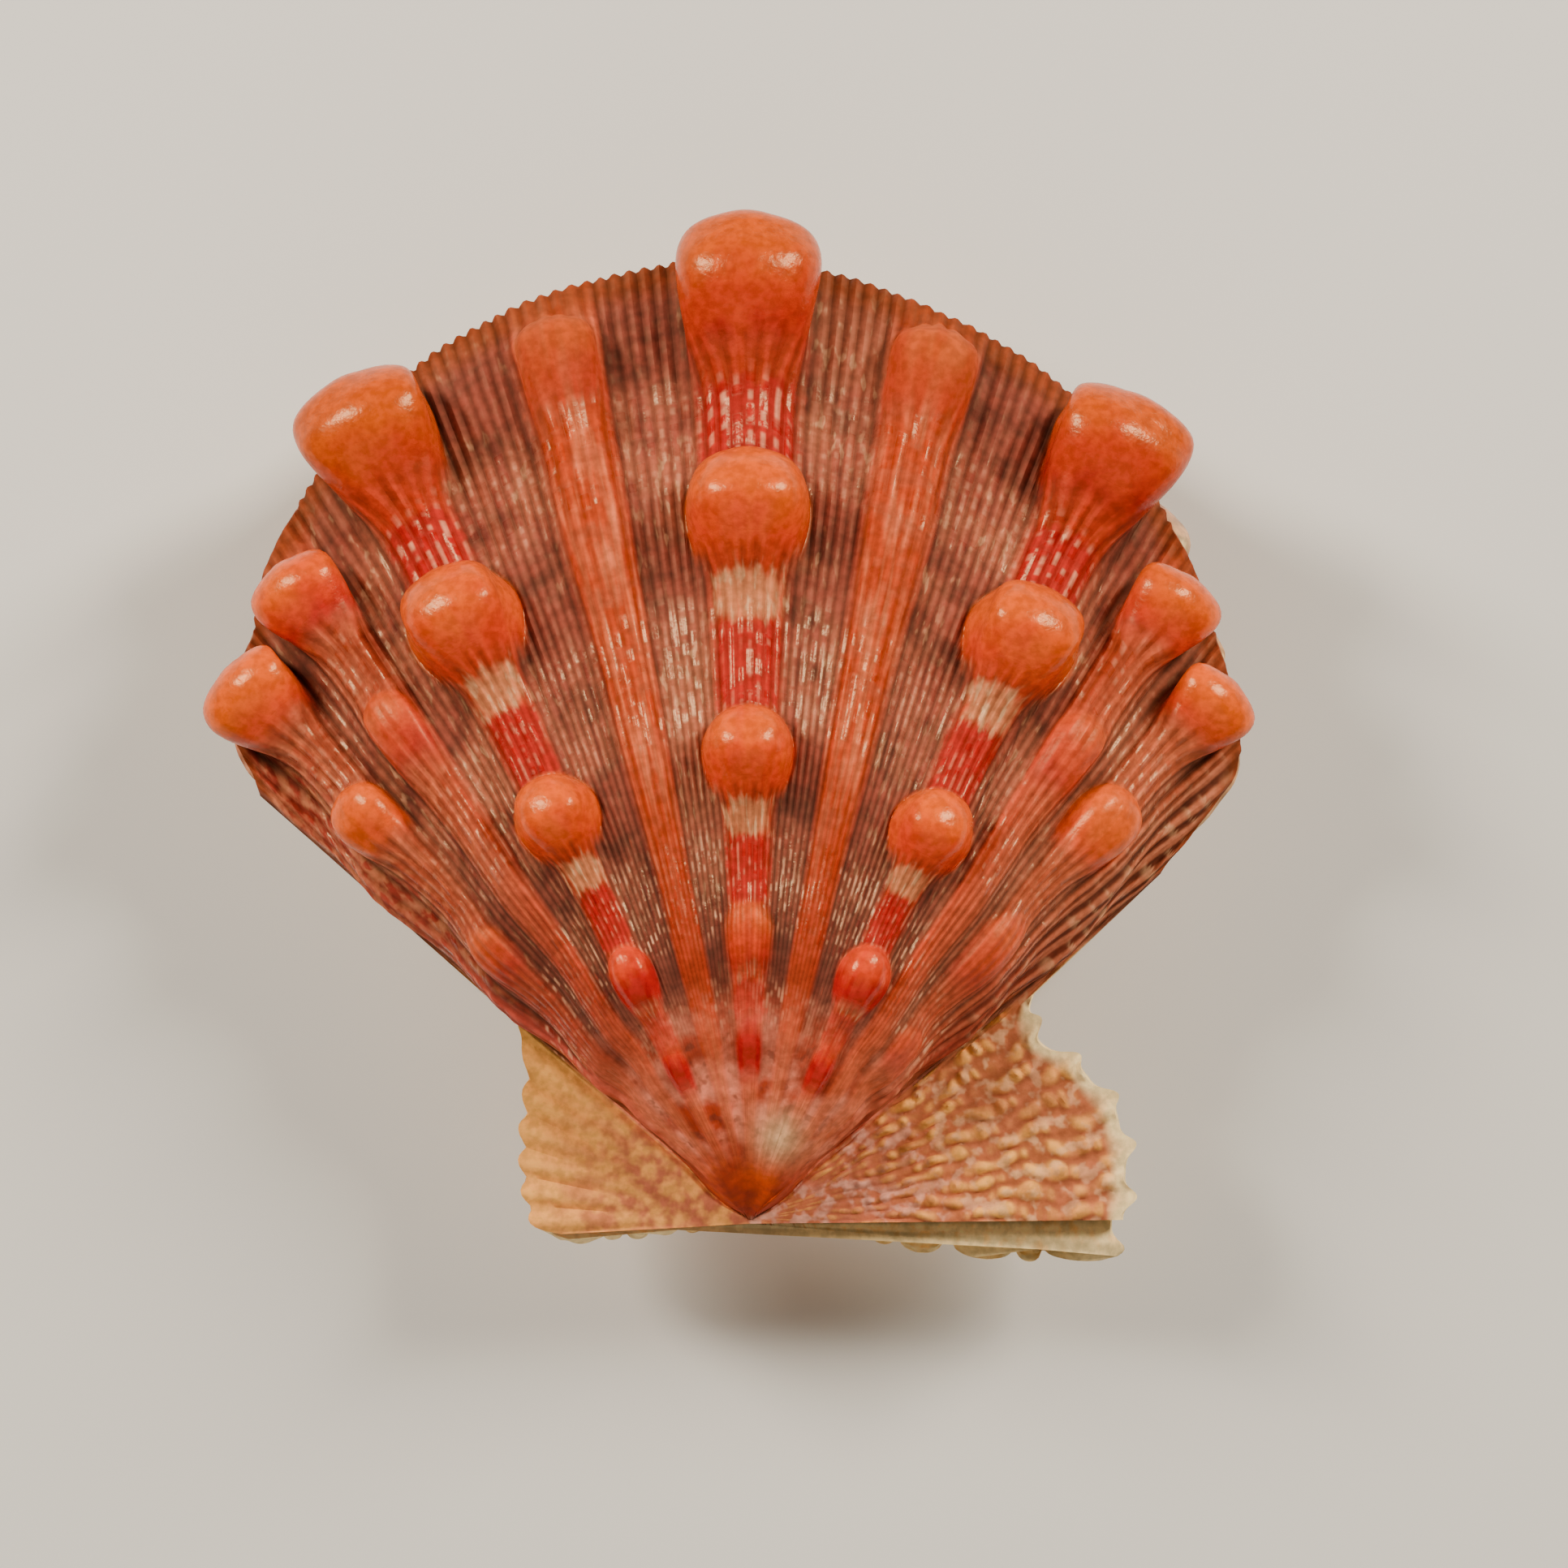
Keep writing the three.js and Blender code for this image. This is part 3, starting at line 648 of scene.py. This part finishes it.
def inner_face(form):
    """Places of the inner face, from the margin back to the beak, and its map."""
    edge = form.edge_points()
    angle, reach = polar(edge[:, 0], edge[:, 1])
    limit = np.where(flank_share(angle) < 0.99, disc_reach(angle, form.radius), reach)
    edge = edge * (np.minimum(limit, reach) / reach)[:, None]
    t = np.linspace(1, 0, INNER_ROWS)[:, None]
    x, y, angle, distance = fan_points(edge, t)
    flank = flank_share(angle * INSIDE_INSET)
    hollow = form.bulge_height(angle, distance, flank) * (1 - WALL / form.bulge)
    wave = form.margin_wave(angle, distance / disc_reach(angle, form.radius))
    z = form.side * (VALVE_GAP / 2 + hollow) + wave
    return np.stack([x, y, z], axis=-1), fan_map(angle, t)


def lip_rows(outer_edge, inner_edge):
    """Two rows that carry the sheet round the lip."""
    out = outer_edge[:, :2] / np.linalg.norm(outer_edge[:, :2], axis=1, keepdims=True)
    rows = []
    for share, swell in LIP_ROWS:
        row = outer_edge + (inner_edge - outer_edge) * share
        row[:, :2] += out * swell
        rows.append(row)
    return np.array(rows)


def new_grid(name, columns, rows):
    """A plain grid, with the column and the row of each of its vertices."""
    bpy.ops.object.select_all(action="DESELECT")
    bpy.ops.mesh.primitive_grid_add(x_subdivisions=columns - 1, y_subdivisions=rows - 1, size=2)
    piece = bpy.context.object
    piece.name = name
    piece.data.name = name
    index = np.arange(rows * columns)
    return piece, index % columns, index // columns


def close_fan():
    """Merges the beak's points of the active piece and closes the slit along the hinge."""
    bpy.ops.object.mode_set(mode="EDIT")
    bpy.ops.mesh.select_mode(type="VERT")
    bpy.ops.mesh.select_all(action="SELECT")
    bpy.ops.mesh.remove_doubles(threshold=MERGE_DISTANCE)
    bpy.ops.mesh.select_all(action="DESELECT")
    bpy.ops.mesh.select_non_manifold(
        extend=False, use_wire=False, use_boundary=True, use_multi_face=False,
        use_non_contiguous=False, use_verts=False,
    )
    bpy.ops.mesh.fill()
    bpy.ops.mesh.select_all(action="SELECT")
    bpy.ops.mesh.normals_make_consistent(inside=False)
    bpy.ops.object.mode_set(mode="OBJECT")
    bpy.ops.object.shade_smooth_by_angle(angle=math.radians(SMOOTH_ANGLE))


def build_valve(valve, sizes):
    """One valve's finished mesh, with its marks and its map of angle and share."""
    form = ValveForm(valve, sizes)
    outer, marks, outer_map = outer_face(form)
    inner, inner_map = inner_face(form)
    inner_mark = 1 - smoothstep(np.abs(inner_map[..., 0] - 0.5), 0.84, 0.88)
    lip = lip_rows(outer[-1], inner[0])
    points = np.concatenate([outer, lip, inner])
    points[..., 2] = np.maximum(points[..., 2], -BEAK[2])  # nothing reaches below the floor
    extra = len(points) - len(outer)
    rows, columns = points.shape[:2]
    piece, column, row = new_grid(valve["node"] + "_shell", columns, rows)
    mesh = piece.data
    place = (points[row, column] + BEAK) * MM
    mesh.vertices.foreach_set("co", place.astype(np.float32).ravel())
    for name, field in marks.items():
        tail = np.repeat(field[-1:], extra, axis=0)
        if name == "within":
            tail[len(lip):] = inner_mark
        values = np.concatenate([field, tail])[row, column]
        mesh.attributes.new(name, "FLOAT", "POINT").data.foreach_set("value", values.astype(np.float32))
    lip_map = np.repeat(outer_map[-1:], len(lip), axis=0)
    whole_map = np.concatenate([outer_map, lip_map, inner_map])[row, column]
    corner = np.empty(len(mesh.loops), int)
    mesh.loops.foreach_get("vertex_index", corner)
    mesh.uv_layers.active.name = "fan"
    mesh.uv_layers.active.data.foreach_set("uv", whole_map[corner].astype(np.float32).ravel())
    mesh.update()
    close_fan()
    return piece


class Field:
    """A number that changes over the surface; arithmetic with it makes nodes."""

    def __init__(self, graph, socket):
        self.graph = graph
        self.socket = socket

    def __add__(self, other):
        return self.graph.math("ADD", self, other)

    def __sub__(self, other):
        return self.graph.math("SUBTRACT", self, other)

    def __mul__(self, other):
        return self.graph.math("MULTIPLY", self, other)

    def __or__(self, other):
        """The larger of the two."""
        return self.graph.math("MAXIMUM", self, other)

    def flip(self):
        """1 where a mask is 0, and 0 where it is 1."""
        return self.graph.math("SUBTRACT", 1, self)

    def ramp(self, low, high, to_low=0, to_high=1):
        """A smooth step, from one value at low to another at high."""
        values = {"Value": self, "From Min": low, "From Max": high, "To Min": to_low, "To Max": to_high}
        return self.graph.made("ShaderNodeMapRange", values, interpolation_type="SMOOTHSTEP")


class Graph:
    """Short ways to make and link the nodes of one tree."""

    def __init__(self, tree):
        self.tree = tree
        self.marks = {}

    def node(self, kind, **settings):
        node = self.tree.nodes.new(kind)
        for name, value in settings.items():
            setattr(node, name, value)
        return node

    def feed(self, socket, value):
        """Links a field or a colour to a socket, or sets its plain value."""
        value = value.socket if isinstance(value, Field) else value
        if isinstance(value, bpy.types.NodeSocket):
            self.tree.links.new(value, socket)
        else:
            socket.default_value = value

    def made(self, kind, values, **settings):
        """The first output of a new node that is fed by its sockets' names or numbers."""
        node = self.node(kind, **settings)
        for socket, value in values.items():
            self.feed(node.inputs[socket], value)
        return Field(self, node.outputs[0])

    def math(self, operation, a, b=0):
        return self.made("ShaderNodeMath", {0: a, 1: b}, operation=operation)

    def mark(self, name):
        """One of the marks that build_valve leaves on the mesh."""
        if name not in self.marks:
            node = self.node("ShaderNodeAttribute", attribute_name=name)
            self.marks[name] = Field(self, node.outputs["Fac"])
        return self.marks[name]

    def paint(self, surface, *coats, blend="MIX"):
        """A colour with coats over it, each given as its mask and its colour."""
        for mask, coat in coats:
            node = self.node("ShaderNodeMix", data_type="RGBA", blend_type=blend)
            for socket, value in ((0, mask), (6, surface), (7, coat)):
                self.feed(node.inputs[socket], value)
            surface = node.outputs[2]
        return surface

    def brighten(self, surface, factor):
        """Multiplies a colour by a factor."""
        grey = self.made("ShaderNodeCombineColor", {0: factor, 1: factor, 2: factor})
        return self.paint(surface, (1, grey), blend="MULTIPLY")

    def darken(self, surface, amount, low):
        """Darkens a colour where amount is 0, down to low."""
        return self.brighten(surface, amount.ramp(0, 1, low, 1))

    def noise(self, place, scale, detail):
        return self.made("ShaderNodeTexNoise", {"Vector": place, "Scale": scale, "Detail": detail})

    def spots(self, scale, detail):
        """Noise that is alike in all directions."""
        return self.noise(self.node("ShaderNodeTexCoord").outputs["Object"], scale, detail)

    def fan_place(self):
        """The angle and the share of the way out, from the piece's own map."""
        parts = self.node("ShaderNodeSeparateXYZ")
        self.feed(parts.inputs[0], self.node("ShaderNodeUVMap", uv_map="fan").outputs[0])
        return Field(self, parts.outputs[0]), Field(self, parts.outputs[1])

    def group(self, name, **values):
        """Outputs of a shared group, which is made the first time that it is used."""
        node = self.node("ShaderNodeGroup", node_tree=bpy.data.node_groups.get(name) or GROUPS[name](name))
        for socket, value in values.items():
            self.feed(node.inputs[socket], value)
        return {socket.name: Field(self, socket) for socket in node.outputs}

    def grain(self, across, along, shift, detail=2):
        """Noise that follows the fan."""
        return self.group("Fan noise", Across=across, Along=along, Shift=shift, Detail=detail)["Value"]


def new_group(name, inputs, outputs):
    """A group of plain numbers: its graph, the fields that it takes and the sockets that it gives."""
    tree = bpy.data.node_groups.new(name, "ShaderNodeTree")
    for socket, value in inputs.items():
        made = tree.interface.new_socket(name=socket, in_out="INPUT", socket_type="NodeSocketFloat")
        made.default_value = value
    for socket in outputs:
        tree.interface.new_socket(name=socket, in_out="OUTPUT", socket_type="NodeSocketFloat")
    graph = Graph(tree)
    taken = graph.node("NodeGroupInput").outputs
    given = graph.node("NodeGroupOutput").inputs
    return graph, {socket: Field(graph, taken[socket]) for socket in inputs}, given


def fan_noise_group(name):
    """Noise that follows the shell's growth: its grain is set across the fan and along it."""
    inputs = {"Across": 50, "Along": 20, "Detail": 2, "Shift": 0}
    graph, taken, given = new_group(name, inputs, ("Value",))
    across, out = graph.fan_place()
    values = {0: across * taken["Across"], 1: out * taken["Along"], 2: taken["Shift"]}
    place = graph.made("ShaderNodeCombineXYZ", values)
    graph.feed(given["Value"], graph.noise(place, 1, taken["Detail"]))
    return graph.tree


def riblet_group(name):
    """The riblets' ridges, of uneven height, and beads along each of them."""
    graph, taken, given = new_group(name, {"Count": 60}, ("Ridge", "Bead", "Out"))
    across, out = graph.fan_place()
    angle = (across - 0.5) * (MAP_TURN / RIBLET_PITCH)
    index = graph.math("FLOOR", angle + 0.5)
    ridge = (graph.math("ABSOLUTE", angle - index) * 2).flip()
    slow = graph.made("ShaderNodeCombineXYZ", {0: index * 5.3, 1: out * 14})
    place = graph.made("ShaderNodeCombineXYZ", {0: index * 3.71, 1: out * taken["Count"]})
    graph.feed(given["Ridge"], ridge * graph.noise(slow, 1, 0).ramp(0.25, 0.75, 0.6, 1.6))
    graph.feed(given["Bead"], graph.noise(place, 1, 0))
    graph.feed(given["Out"], out)
    return graph.tree


def speckle_group(name):
    """Fine grains of lighter and darker colour, as a factor on the colour."""
    graph, taken, given = new_group(name, {"Scale": 1500, "Low": 0.8, "High": 1.2}, ("Factor",))
    grain = graph.spots(taken["Scale"], 3)
    graph.feed(given["Factor"], grain.ramp(0.3, 0.7, taken["Low"], taken["High"]))
    return graph.tree


GROUPS = {"Fan noise": fan_noise_group, "Riblets": riblet_group, "Speckle": speckle_group}


def new_material(name):
    material = bpy.data.materials.new(name)
    material.use_nodes = True
    return material, material.node_tree.nodes["Principled BSDF"]


def glossy_finish(graph, shader, surface):
    """Sets the shell's colour, with fine grains, its riblets and their gloss; heights in millimetres."""
    mark = graph.mark
    riblets = graph.group("Riblets", Count=48)
    speckle = graph.group("Speckle", Scale=1600, Low=0.82, High=1.18)["Factor"]
    graph.feed(shader.inputs["Base Color"], graph.brighten(surface, speckle))
    rough = (mark("knob") | mark("tip") | mark("ear")).flip()
    gloss = riblets["Bead"].ramp(0.42, 0.54) * riblets["Ridge"].ramp(0.1, 0.4) * rough
    gloss = gloss * mark("shine").ramp(0, 1, 0.4, 1)
    gloss = gloss | (mark("knob") - mark("plain") * 0.8)
    graph.feed(shader.inputs["Roughness"], gloss.ramp(0, 1, 0.85, 0.25))
    shader.inputs["Specular IOR Level"].default_value = 0.45
    shader.inputs["Specular Tint"].default_value = (1, 0.72, 0.4, 1)
    ridge = riblets["Ridge"] * riblets["Out"].ramp(0.1, 1, 0, 0.13)
    height = ridge + riblets["Bead"] * 0.13 + graph.grain(22, 16, 21, 1) * 0.15
    fine = graph.group("Speckle", Scale=2600, Low=0, High=0.012)["Factor"]
    bump = graph.node("ShaderNodeBump")
    bump.inputs["Strength"].default_value = 1
    bump.inputs["Distance"].default_value = MM
    graph.feed(bump.inputs["Height"], height * rough + fine)
    graph.feed(shader.inputs["Normal"], bump.outputs[0])


class OrangeShell(Graph):
    """The upper valve's colours, region by region."""

    def __init__(self, tree, tints):
        super().__init__(tree)
        self.tints = tints
        self.streak = self.grain(110, 9, 1)
        self.blotch = self.grain(14, 22, 2, 3)
        self.band = self.grain(8, 12, 3)
        self.fleck = self.grain(150, 40, 4)
        self.cloud = self.spots(300, 4)
        self.dots = self.spots(900, 2)
        self.inner_streak = self.mark("inner") * self.streak.ramp(0.3, 0.7, 0.5, 1)
        back_cord = self.mark("rib").ramp(0.25, 0.6) - self.mark("right") | 0
        self.ridge = back_cord * self.mark("flank")

    def gap(self):
        """Brown-mauve between the ribs, with dark patches, tan bands and pale flecks."""
        mark, tints = self.mark, self.tints
        return self.paint(
            tints.gap,
            (self.blotch.ramp(0.44, 0.64, 0, 0.75), tints.gap_dark),
            (self.band.ramp(0.48, 0.66, 0, 0.5), tints.gap_tan),
            (mark("shine") * self.streak.ramp(0.35, 0.6, 0, 0.4), tints.gap_tan),
            (self.fleck.ramp(0.55, 0.68) * self.band.ramp(0.44, 0.6, 0.05, 0.45), tints.cream),
            (mark("inner") * 0.7, tints.gap_dark),
            (mark("right") * mark("muted") * 0.4, tints.gap_tan),
        )

    def rib(self):
        """Red-orange of the knobbed ribs, and the muted colours of those beside the flanks."""
        mark, tints = self.mark, self.tints
        muted = self.paint(
            tints.rib_brown,
            (self.streak.ramp(0.4, 0.66, 0, 0.8), tints.gap_tan),
            (self.fleck.ramp(0.52, 0.66, 0, 0.6), tints.salmon),
            (self.inner_streak, tints.flank_red),
            (mark("right") * 0.3, tints.salmon),
        )
        return self.paint(
            tints.rib,
            (self.streak.ramp(0.4, 0.7), tints.knob_red),
            (mark("muted") * 0.85, muted),
        )

    def plain_rib(self):
        """Salmon streaks along the two smooth ribs."""
        tints = self.tints
        return self.paint(
            tints.plain_rib,
            (self.streak.ramp(0.42, 0.7, 0, 0.8), tints.salmon),
            (self.grain(24, 34, 8).ramp(0.45, 0.65, 0, 0.6), tints.rib_brown),
            (self.mark("inner"), tints.rib),
        )

    def flank(self):
        """The steep sides: mottled with a red ridge at the back, tan riblets and scales at the front."""
        mark, tints = self.mark, self.tints
        # partly painted shade: the dark back flank near the beak
        dark = self.paint(tints.flank, (self.streak.ramp(0.4, 0.6, 0, 0.7), tints.flank_red))
        front = self.paint(
            tints.flank,
            (mark("riblet").ramp(0.2, 0.8), tints.gap_tan),
            (mark("scale").ramp(0.1, 0.6, 0, 0.5), tints.cream),
            (self.inner_streak, tints.flank_red),
        )
        return self.paint(
            tints.flank_red,
            (self.fleck.ramp(0.42, 0.6), tints.gap_tan),
            (self.dots.ramp(0.5, 0.62, 0, 0.6), tints.skirt),
            (mark("inner"), dark),
            (self.ridge * mark("inner").ramp(0, 1, 0.2, 1), tints.ridge),
            (mark("right"), front),
        )

    def beads(self):
        """Painted highlights: pale beads on the riblets that stand for the lamps' glints, in growth bands,
        near the beak and in outer saddles.
        """
        mark = self.mark
        bead = self.group("Riblets", Count=75)["Bead"].ramp(0.48, 0.62) * mark("riblet").ramp(0.5, 0.95)
        band = mark("shine").ramp(0.3, 1, 0, 0.2) * self.blotch.ramp(0.42, 0.58, 1, 0.15)
        near = mark("shine") * mark("inner") * 0.65 * mark("rib").ramp(0, 1, 1, 0.25)
        near = near * self.blotch.ramp(0.42, 0.58, 1, 0.3)
        return bead * (band * mark("plain").flip() | near | mark("saddle") * mark("outer") * 0.6)

    def knob(self):
        """From crimson to yellow orange by a knob's warmth, deeper at the margin and on plain ribs."""
        mark, tints = self.mark, self.tints
        warmth = mark("warmth") + self.streak.ramp(0.3, 0.7, -0.12, 0.08)
        warmth = warmth + self.cloud.ramp(0.3, 0.7, -0.2, 0.2)
        knob = self.paint(
            tints.saddle,
            (warmth.ramp(-0.5, 0.05), tints.knob_red),
            (warmth.ramp(0, 1), tints.knob),
        )
        strong = mark("outer") * mark("muted").ramp(0, 1, 1, 0.2)
        return self.darken(self.darken(knob, strong.flip(), 0.72), mark("plain").flip(), 0.8)

    def ear(self):
        """Ochre at the back; brown with ochre nodules, pink and frost at the front; painted shade in the
        grooves of both.
        """
        mark, tints = self.mark, self.tints
        back = self.paint(tints.ear, (self.cloud.ramp(0.45, 0.7, 0, 0.25), tints.ear_brown))
        # painted shade in the grooves between the back ear's lobes
        back = self.darken(back, mark("riblet") | mark("right"), 0.6)
        front = self.paint(
            tints.ear_brown,
            (mark("scale").ramp(0.05, 0.55), tints.ear),
            (self.cloud.ramp(0.45, 0.65, 0, 0.6), tints.ear_brown),
            (self.dots.ramp(0.5, 0.64, 0, 0.6), tints.cream),
            (self.spots(170, 2).ramp(0.46, 0.6, 0, 0.3), tints.ear_pink),
        )
        frost = self.dots.ramp(0.46, 0.6) * self.cloud.ramp(0.46, 0.6, 0, 0.8)
        return self.paint(
            back,
            # painted shade between the front ear's rows of nodules
            (mark("right"), self.darken(front, mark("riblet"), 0.75)),
            (mark("beak") * self.dots.ramp(0.35, 0.65, 0.25, 0.95), tints.ear_pink),
            (frost * mark("beak") * mark("right"), tints.frost),
            (mark("edge") * mark("right"), tints.pale),
        )

    def surface(self):
        """All regions over each other, with painted shade between riblets and beside high relief."""
        mark, tints = self.mark, self.tints
        rib = mark("rib")
        knob = mark("knob")
        beak = mark("beak")
        frayed = (self.fleck - 0.5) * 1.4
        ribbon = (beak * (rib - knob) | 0) * self.streak.ramp(0.3, 0.7, 0.3, 0.75)
        bare = (rib * 0.75 | knob | mark("flank") * 0.8 | self.ridge).flip()
        pink = self.paint(
            tints.beak,
            (self.cloud.ramp(0.4, 0.62), tints.rib),
            (self.dots.ramp(0.57, 0.66, 0, 0.5), tints.gap_dark),
        )
        disc = self.paint(
            self.gap(),
            (rib.ramp(0.1, 0.85), self.rib()),
            (mark("flank") * 0.85, self.flank()),
            (mark("plain").ramp(0.1, 0.85), self.plain_rib()),
            ((mark("saddle") + frayed).ramp(0.15, 0.75, 0, 0.9), tints.saddle),
            ((mark("cream") + frayed).ramp(0.25, 0.85, 0, 0.85), tints.skirt),
            (mark("cream") * self.fleck.ramp(0.52, 0.66, 0, 0.7), tints.cream),
            # painted highlights: pale beads for the glints on the riblets
            (self.beads(), tints.bead),
            (knob, self.knob()),
            (ribbon, tints.salmon),
            (beak * bare, pink),
            (mark("tip"), self.paint(tints.tip, (self.cloud.ramp(0.4, 0.6), tints.rib))),
            # a pale cream spot beside the beak
            (mark("pale_spot") * 0.95, tints.cream),
            (mark("edge") * knob.flip() * 0.85, tints.edge),
        )
        # painted shade: darker in the riblets' grooves, less on ribs and none on knobs
        disc = self.darken(disc, mark("riblet") | knob | rib * 0.5, 0.52)
        shell = self.paint(disc, (mark("ear"), self.ear()), (mark("within"), tints.inside))
        # painted shade beside knobs, ribs and other high relief
        return self.darken(shell, mark("cavity_shade").flip(), 0.4)


def upper_material(tints):
    material, shader = new_material("orange_shell")
    shell = OrangeShell(material.node_tree, tints)
    glossy_finish(shell, shader, shell.surface())
    return material


def lower_material(tints):
    material, shader = new_material("pale_shell")
    graph = Graph(material.node_tree)
    mottle = graph.grain(26, 24, 12)
    ear = graph.paint(tints.pale, (mottle.ramp(0.45, 0.7, 0, 0.5), tints.ear))
    surface = graph.paint(
        tints.pale,
        (mottle.ramp(0.45, 0.7), tints.gap_tan),
        (graph.mark("rib").ramp(0.2, 0.8, 0, 0.5), tints.plain_rib),
        (graph.mark("beak").ramp(0, 1, 0, 0.6), tints.beak),
        (graph.mark("ear"), ear),
        (graph.mark("within"), tints.inside),
    )
    # painted shade in the grooves between the riblets
    glossy_finish(graph, shader, graph.darken(surface, graph.mark("riblet"), 0.6))
    return material


def finish_piece(piece, valve, material):
    piece.data.materials.clear()
    piece.data.materials.append(material)
    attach(piece, "root")
    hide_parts(valve["node"])


class SCALLOP_OT_upper_valve(bpy.types.Operator):
    """Builds the upper valve, with its orange knobs"""

    bl_idname = "scallop.upper_valve"
    bl_label = "Upper valve"

    def execute(self, context):
        piece = build_valve(UPPER, context.scene.scallop_sizes)
        finish_piece(piece, UPPER, upper_material(context.scene.scallop_colours))
        return {"FINISHED"}


class SCALLOP_OT_lower_valve(bpy.types.Operator):
    """Builds the paler lower valve, which the shell rests on"""

    bl_idname = "scallop.lower_valve"
    bl_label = "Lower valve"

    def execute(self, context):
        piece = build_valve(LOWER, context.scene.scallop_sizes)
        finish_piece(piece, LOWER, lower_material(context.scene.scallop_colours))
        return {"FINISHED"}


def soft_light(name, place, power, width, height):
    """A lamp with a rectangular face, turned to the shell."""
    data = bpy.data.lights.new(name, "AREA")
    data.energy = power
    data.shape = "RECTANGLE"
    data.size = width
    data.size_y = height
    data.color = LAMP_COLOUR
    light = bpy.data.objects.new(name, data)
    bpy.context.scene.collection.objects.link(light)
    light.location = place
    light.rotation_euler = (-Vector(place)).to_track_quat("-Z", "Y").to_euler()


def add_camera(scene):
    """A camera that frames the shell as the picture does."""
    data = bpy.data.cameras.new("camera")
    camera = bpy.data.objects.new("camera", data)
    scene.collection.objects.link(camera)
    middle = PHOTO_SIZE / 2
    aim = Vector((*BEAK,)) + Vector((
        (middle - BEAK_PIXEL[0]) * PHOTO_SCALE, (BEAK_PIXEL[1] - middle) * PHOTO_SCALE, 0))
    rise = math.radians(CAMERA_ELEVATION)
    back = Vector((0, -math.cos(rise), math.sin(rise)))
    camera.location = (aim + back * CAMERA_DISTANCE) * MM
    camera.rotation_euler = (-back).to_track_quat("-Z", "Y").to_euler()
    data.sensor_fit = "HORIZONTAL"
    data.angle = 2 * math.atan(middle * PHOTO_SCALE / CAMERA_DISTANCE)
    data.clip_start = CLIP_START
    data.dof.use_dof = False
    scene.camera = camera


class SCALLOP_OT_stage(bpy.types.Operator):
    """Adds the pale floor, the soft lights and the camera over the shell"""

    bl_idname = "scallop.stage"
    bl_label = "Stage"

    def execute(self, context):
        bpy.ops.object.select_all(action="DESELECT")
        bpy.ops.mesh.primitive_plane_add(size=FLOOR_SIZE)
        floor = context.object
        floor.name = "floor"
        material, shader = new_material("pale_floor")
        shader.inputs["Base Color"].default_value = FLOOR_COLOUR
        shader.inputs["Roughness"].default_value = FLOOR_ROUGHNESS
        floor.data.materials.append(material)
        world = bpy.data.worlds.new("studio")
        world.use_nodes = True
        sky = world.node_tree.nodes["Background"]
        sky.inputs["Color"].default_value = SKY_COLOUR
        sky.inputs["Strength"].default_value = SKY_STRENGTH
        context.scene.world = world
        for name, lamp in LAMPS.items():
            soft_light(name, *lamp)
        add_camera(context.scene)
        return {"FINISHED"}


class SCALLOP_PT_panel(bpy.types.Panel):
    """Lists the shell's pieces, sizes and colours"""

    bl_idname = "SCALLOP_PT_panel"
    bl_label = "Lion's Paw Scallop"
    bl_space_type = "VIEW_3D"
    bl_region_type = "UI"
    bl_category = "Scallop"

    def draw(self, context):
        layout = self.layout
        for step in STEPS:
            layout.operator(step.bl_idname)
        for settings in (context.scene.scallop_sizes, context.scene.scallop_colours):
            box = layout.box()
            for name in settings.__annotations__:
                box.prop(settings, name)


STEPS = (SCALLOP_OT_upper_valve, SCALLOP_OT_lower_valve, SCALLOP_OT_stage)
CLASSES = (ScallopSizes, ScallopColours, *STEPS, SCALLOP_PT_panel)


def register():
    for kind in CLASSES:
        bpy.utils.register_class(kind)
    bpy.types.Scene.scallop_sizes = bpy.props.PointerProperty(type=ScallopSizes)
    bpy.types.Scene.scallop_colours = bpy.props.PointerProperty(type=ScallopColours)


def unregister():
    del bpy.types.Scene.scallop_colours
    del bpy.types.Scene.scallop_sizes
    for kind in reversed(CLASSES):
        bpy.utils.unregister_class(kind)


def main():
    register()
    bpy.ops.scallop.upper_valve()
    bpy.ops.scallop.lower_valve()
    bpy.ops.scallop.stage()


if __name__ == "__main__":
    main()
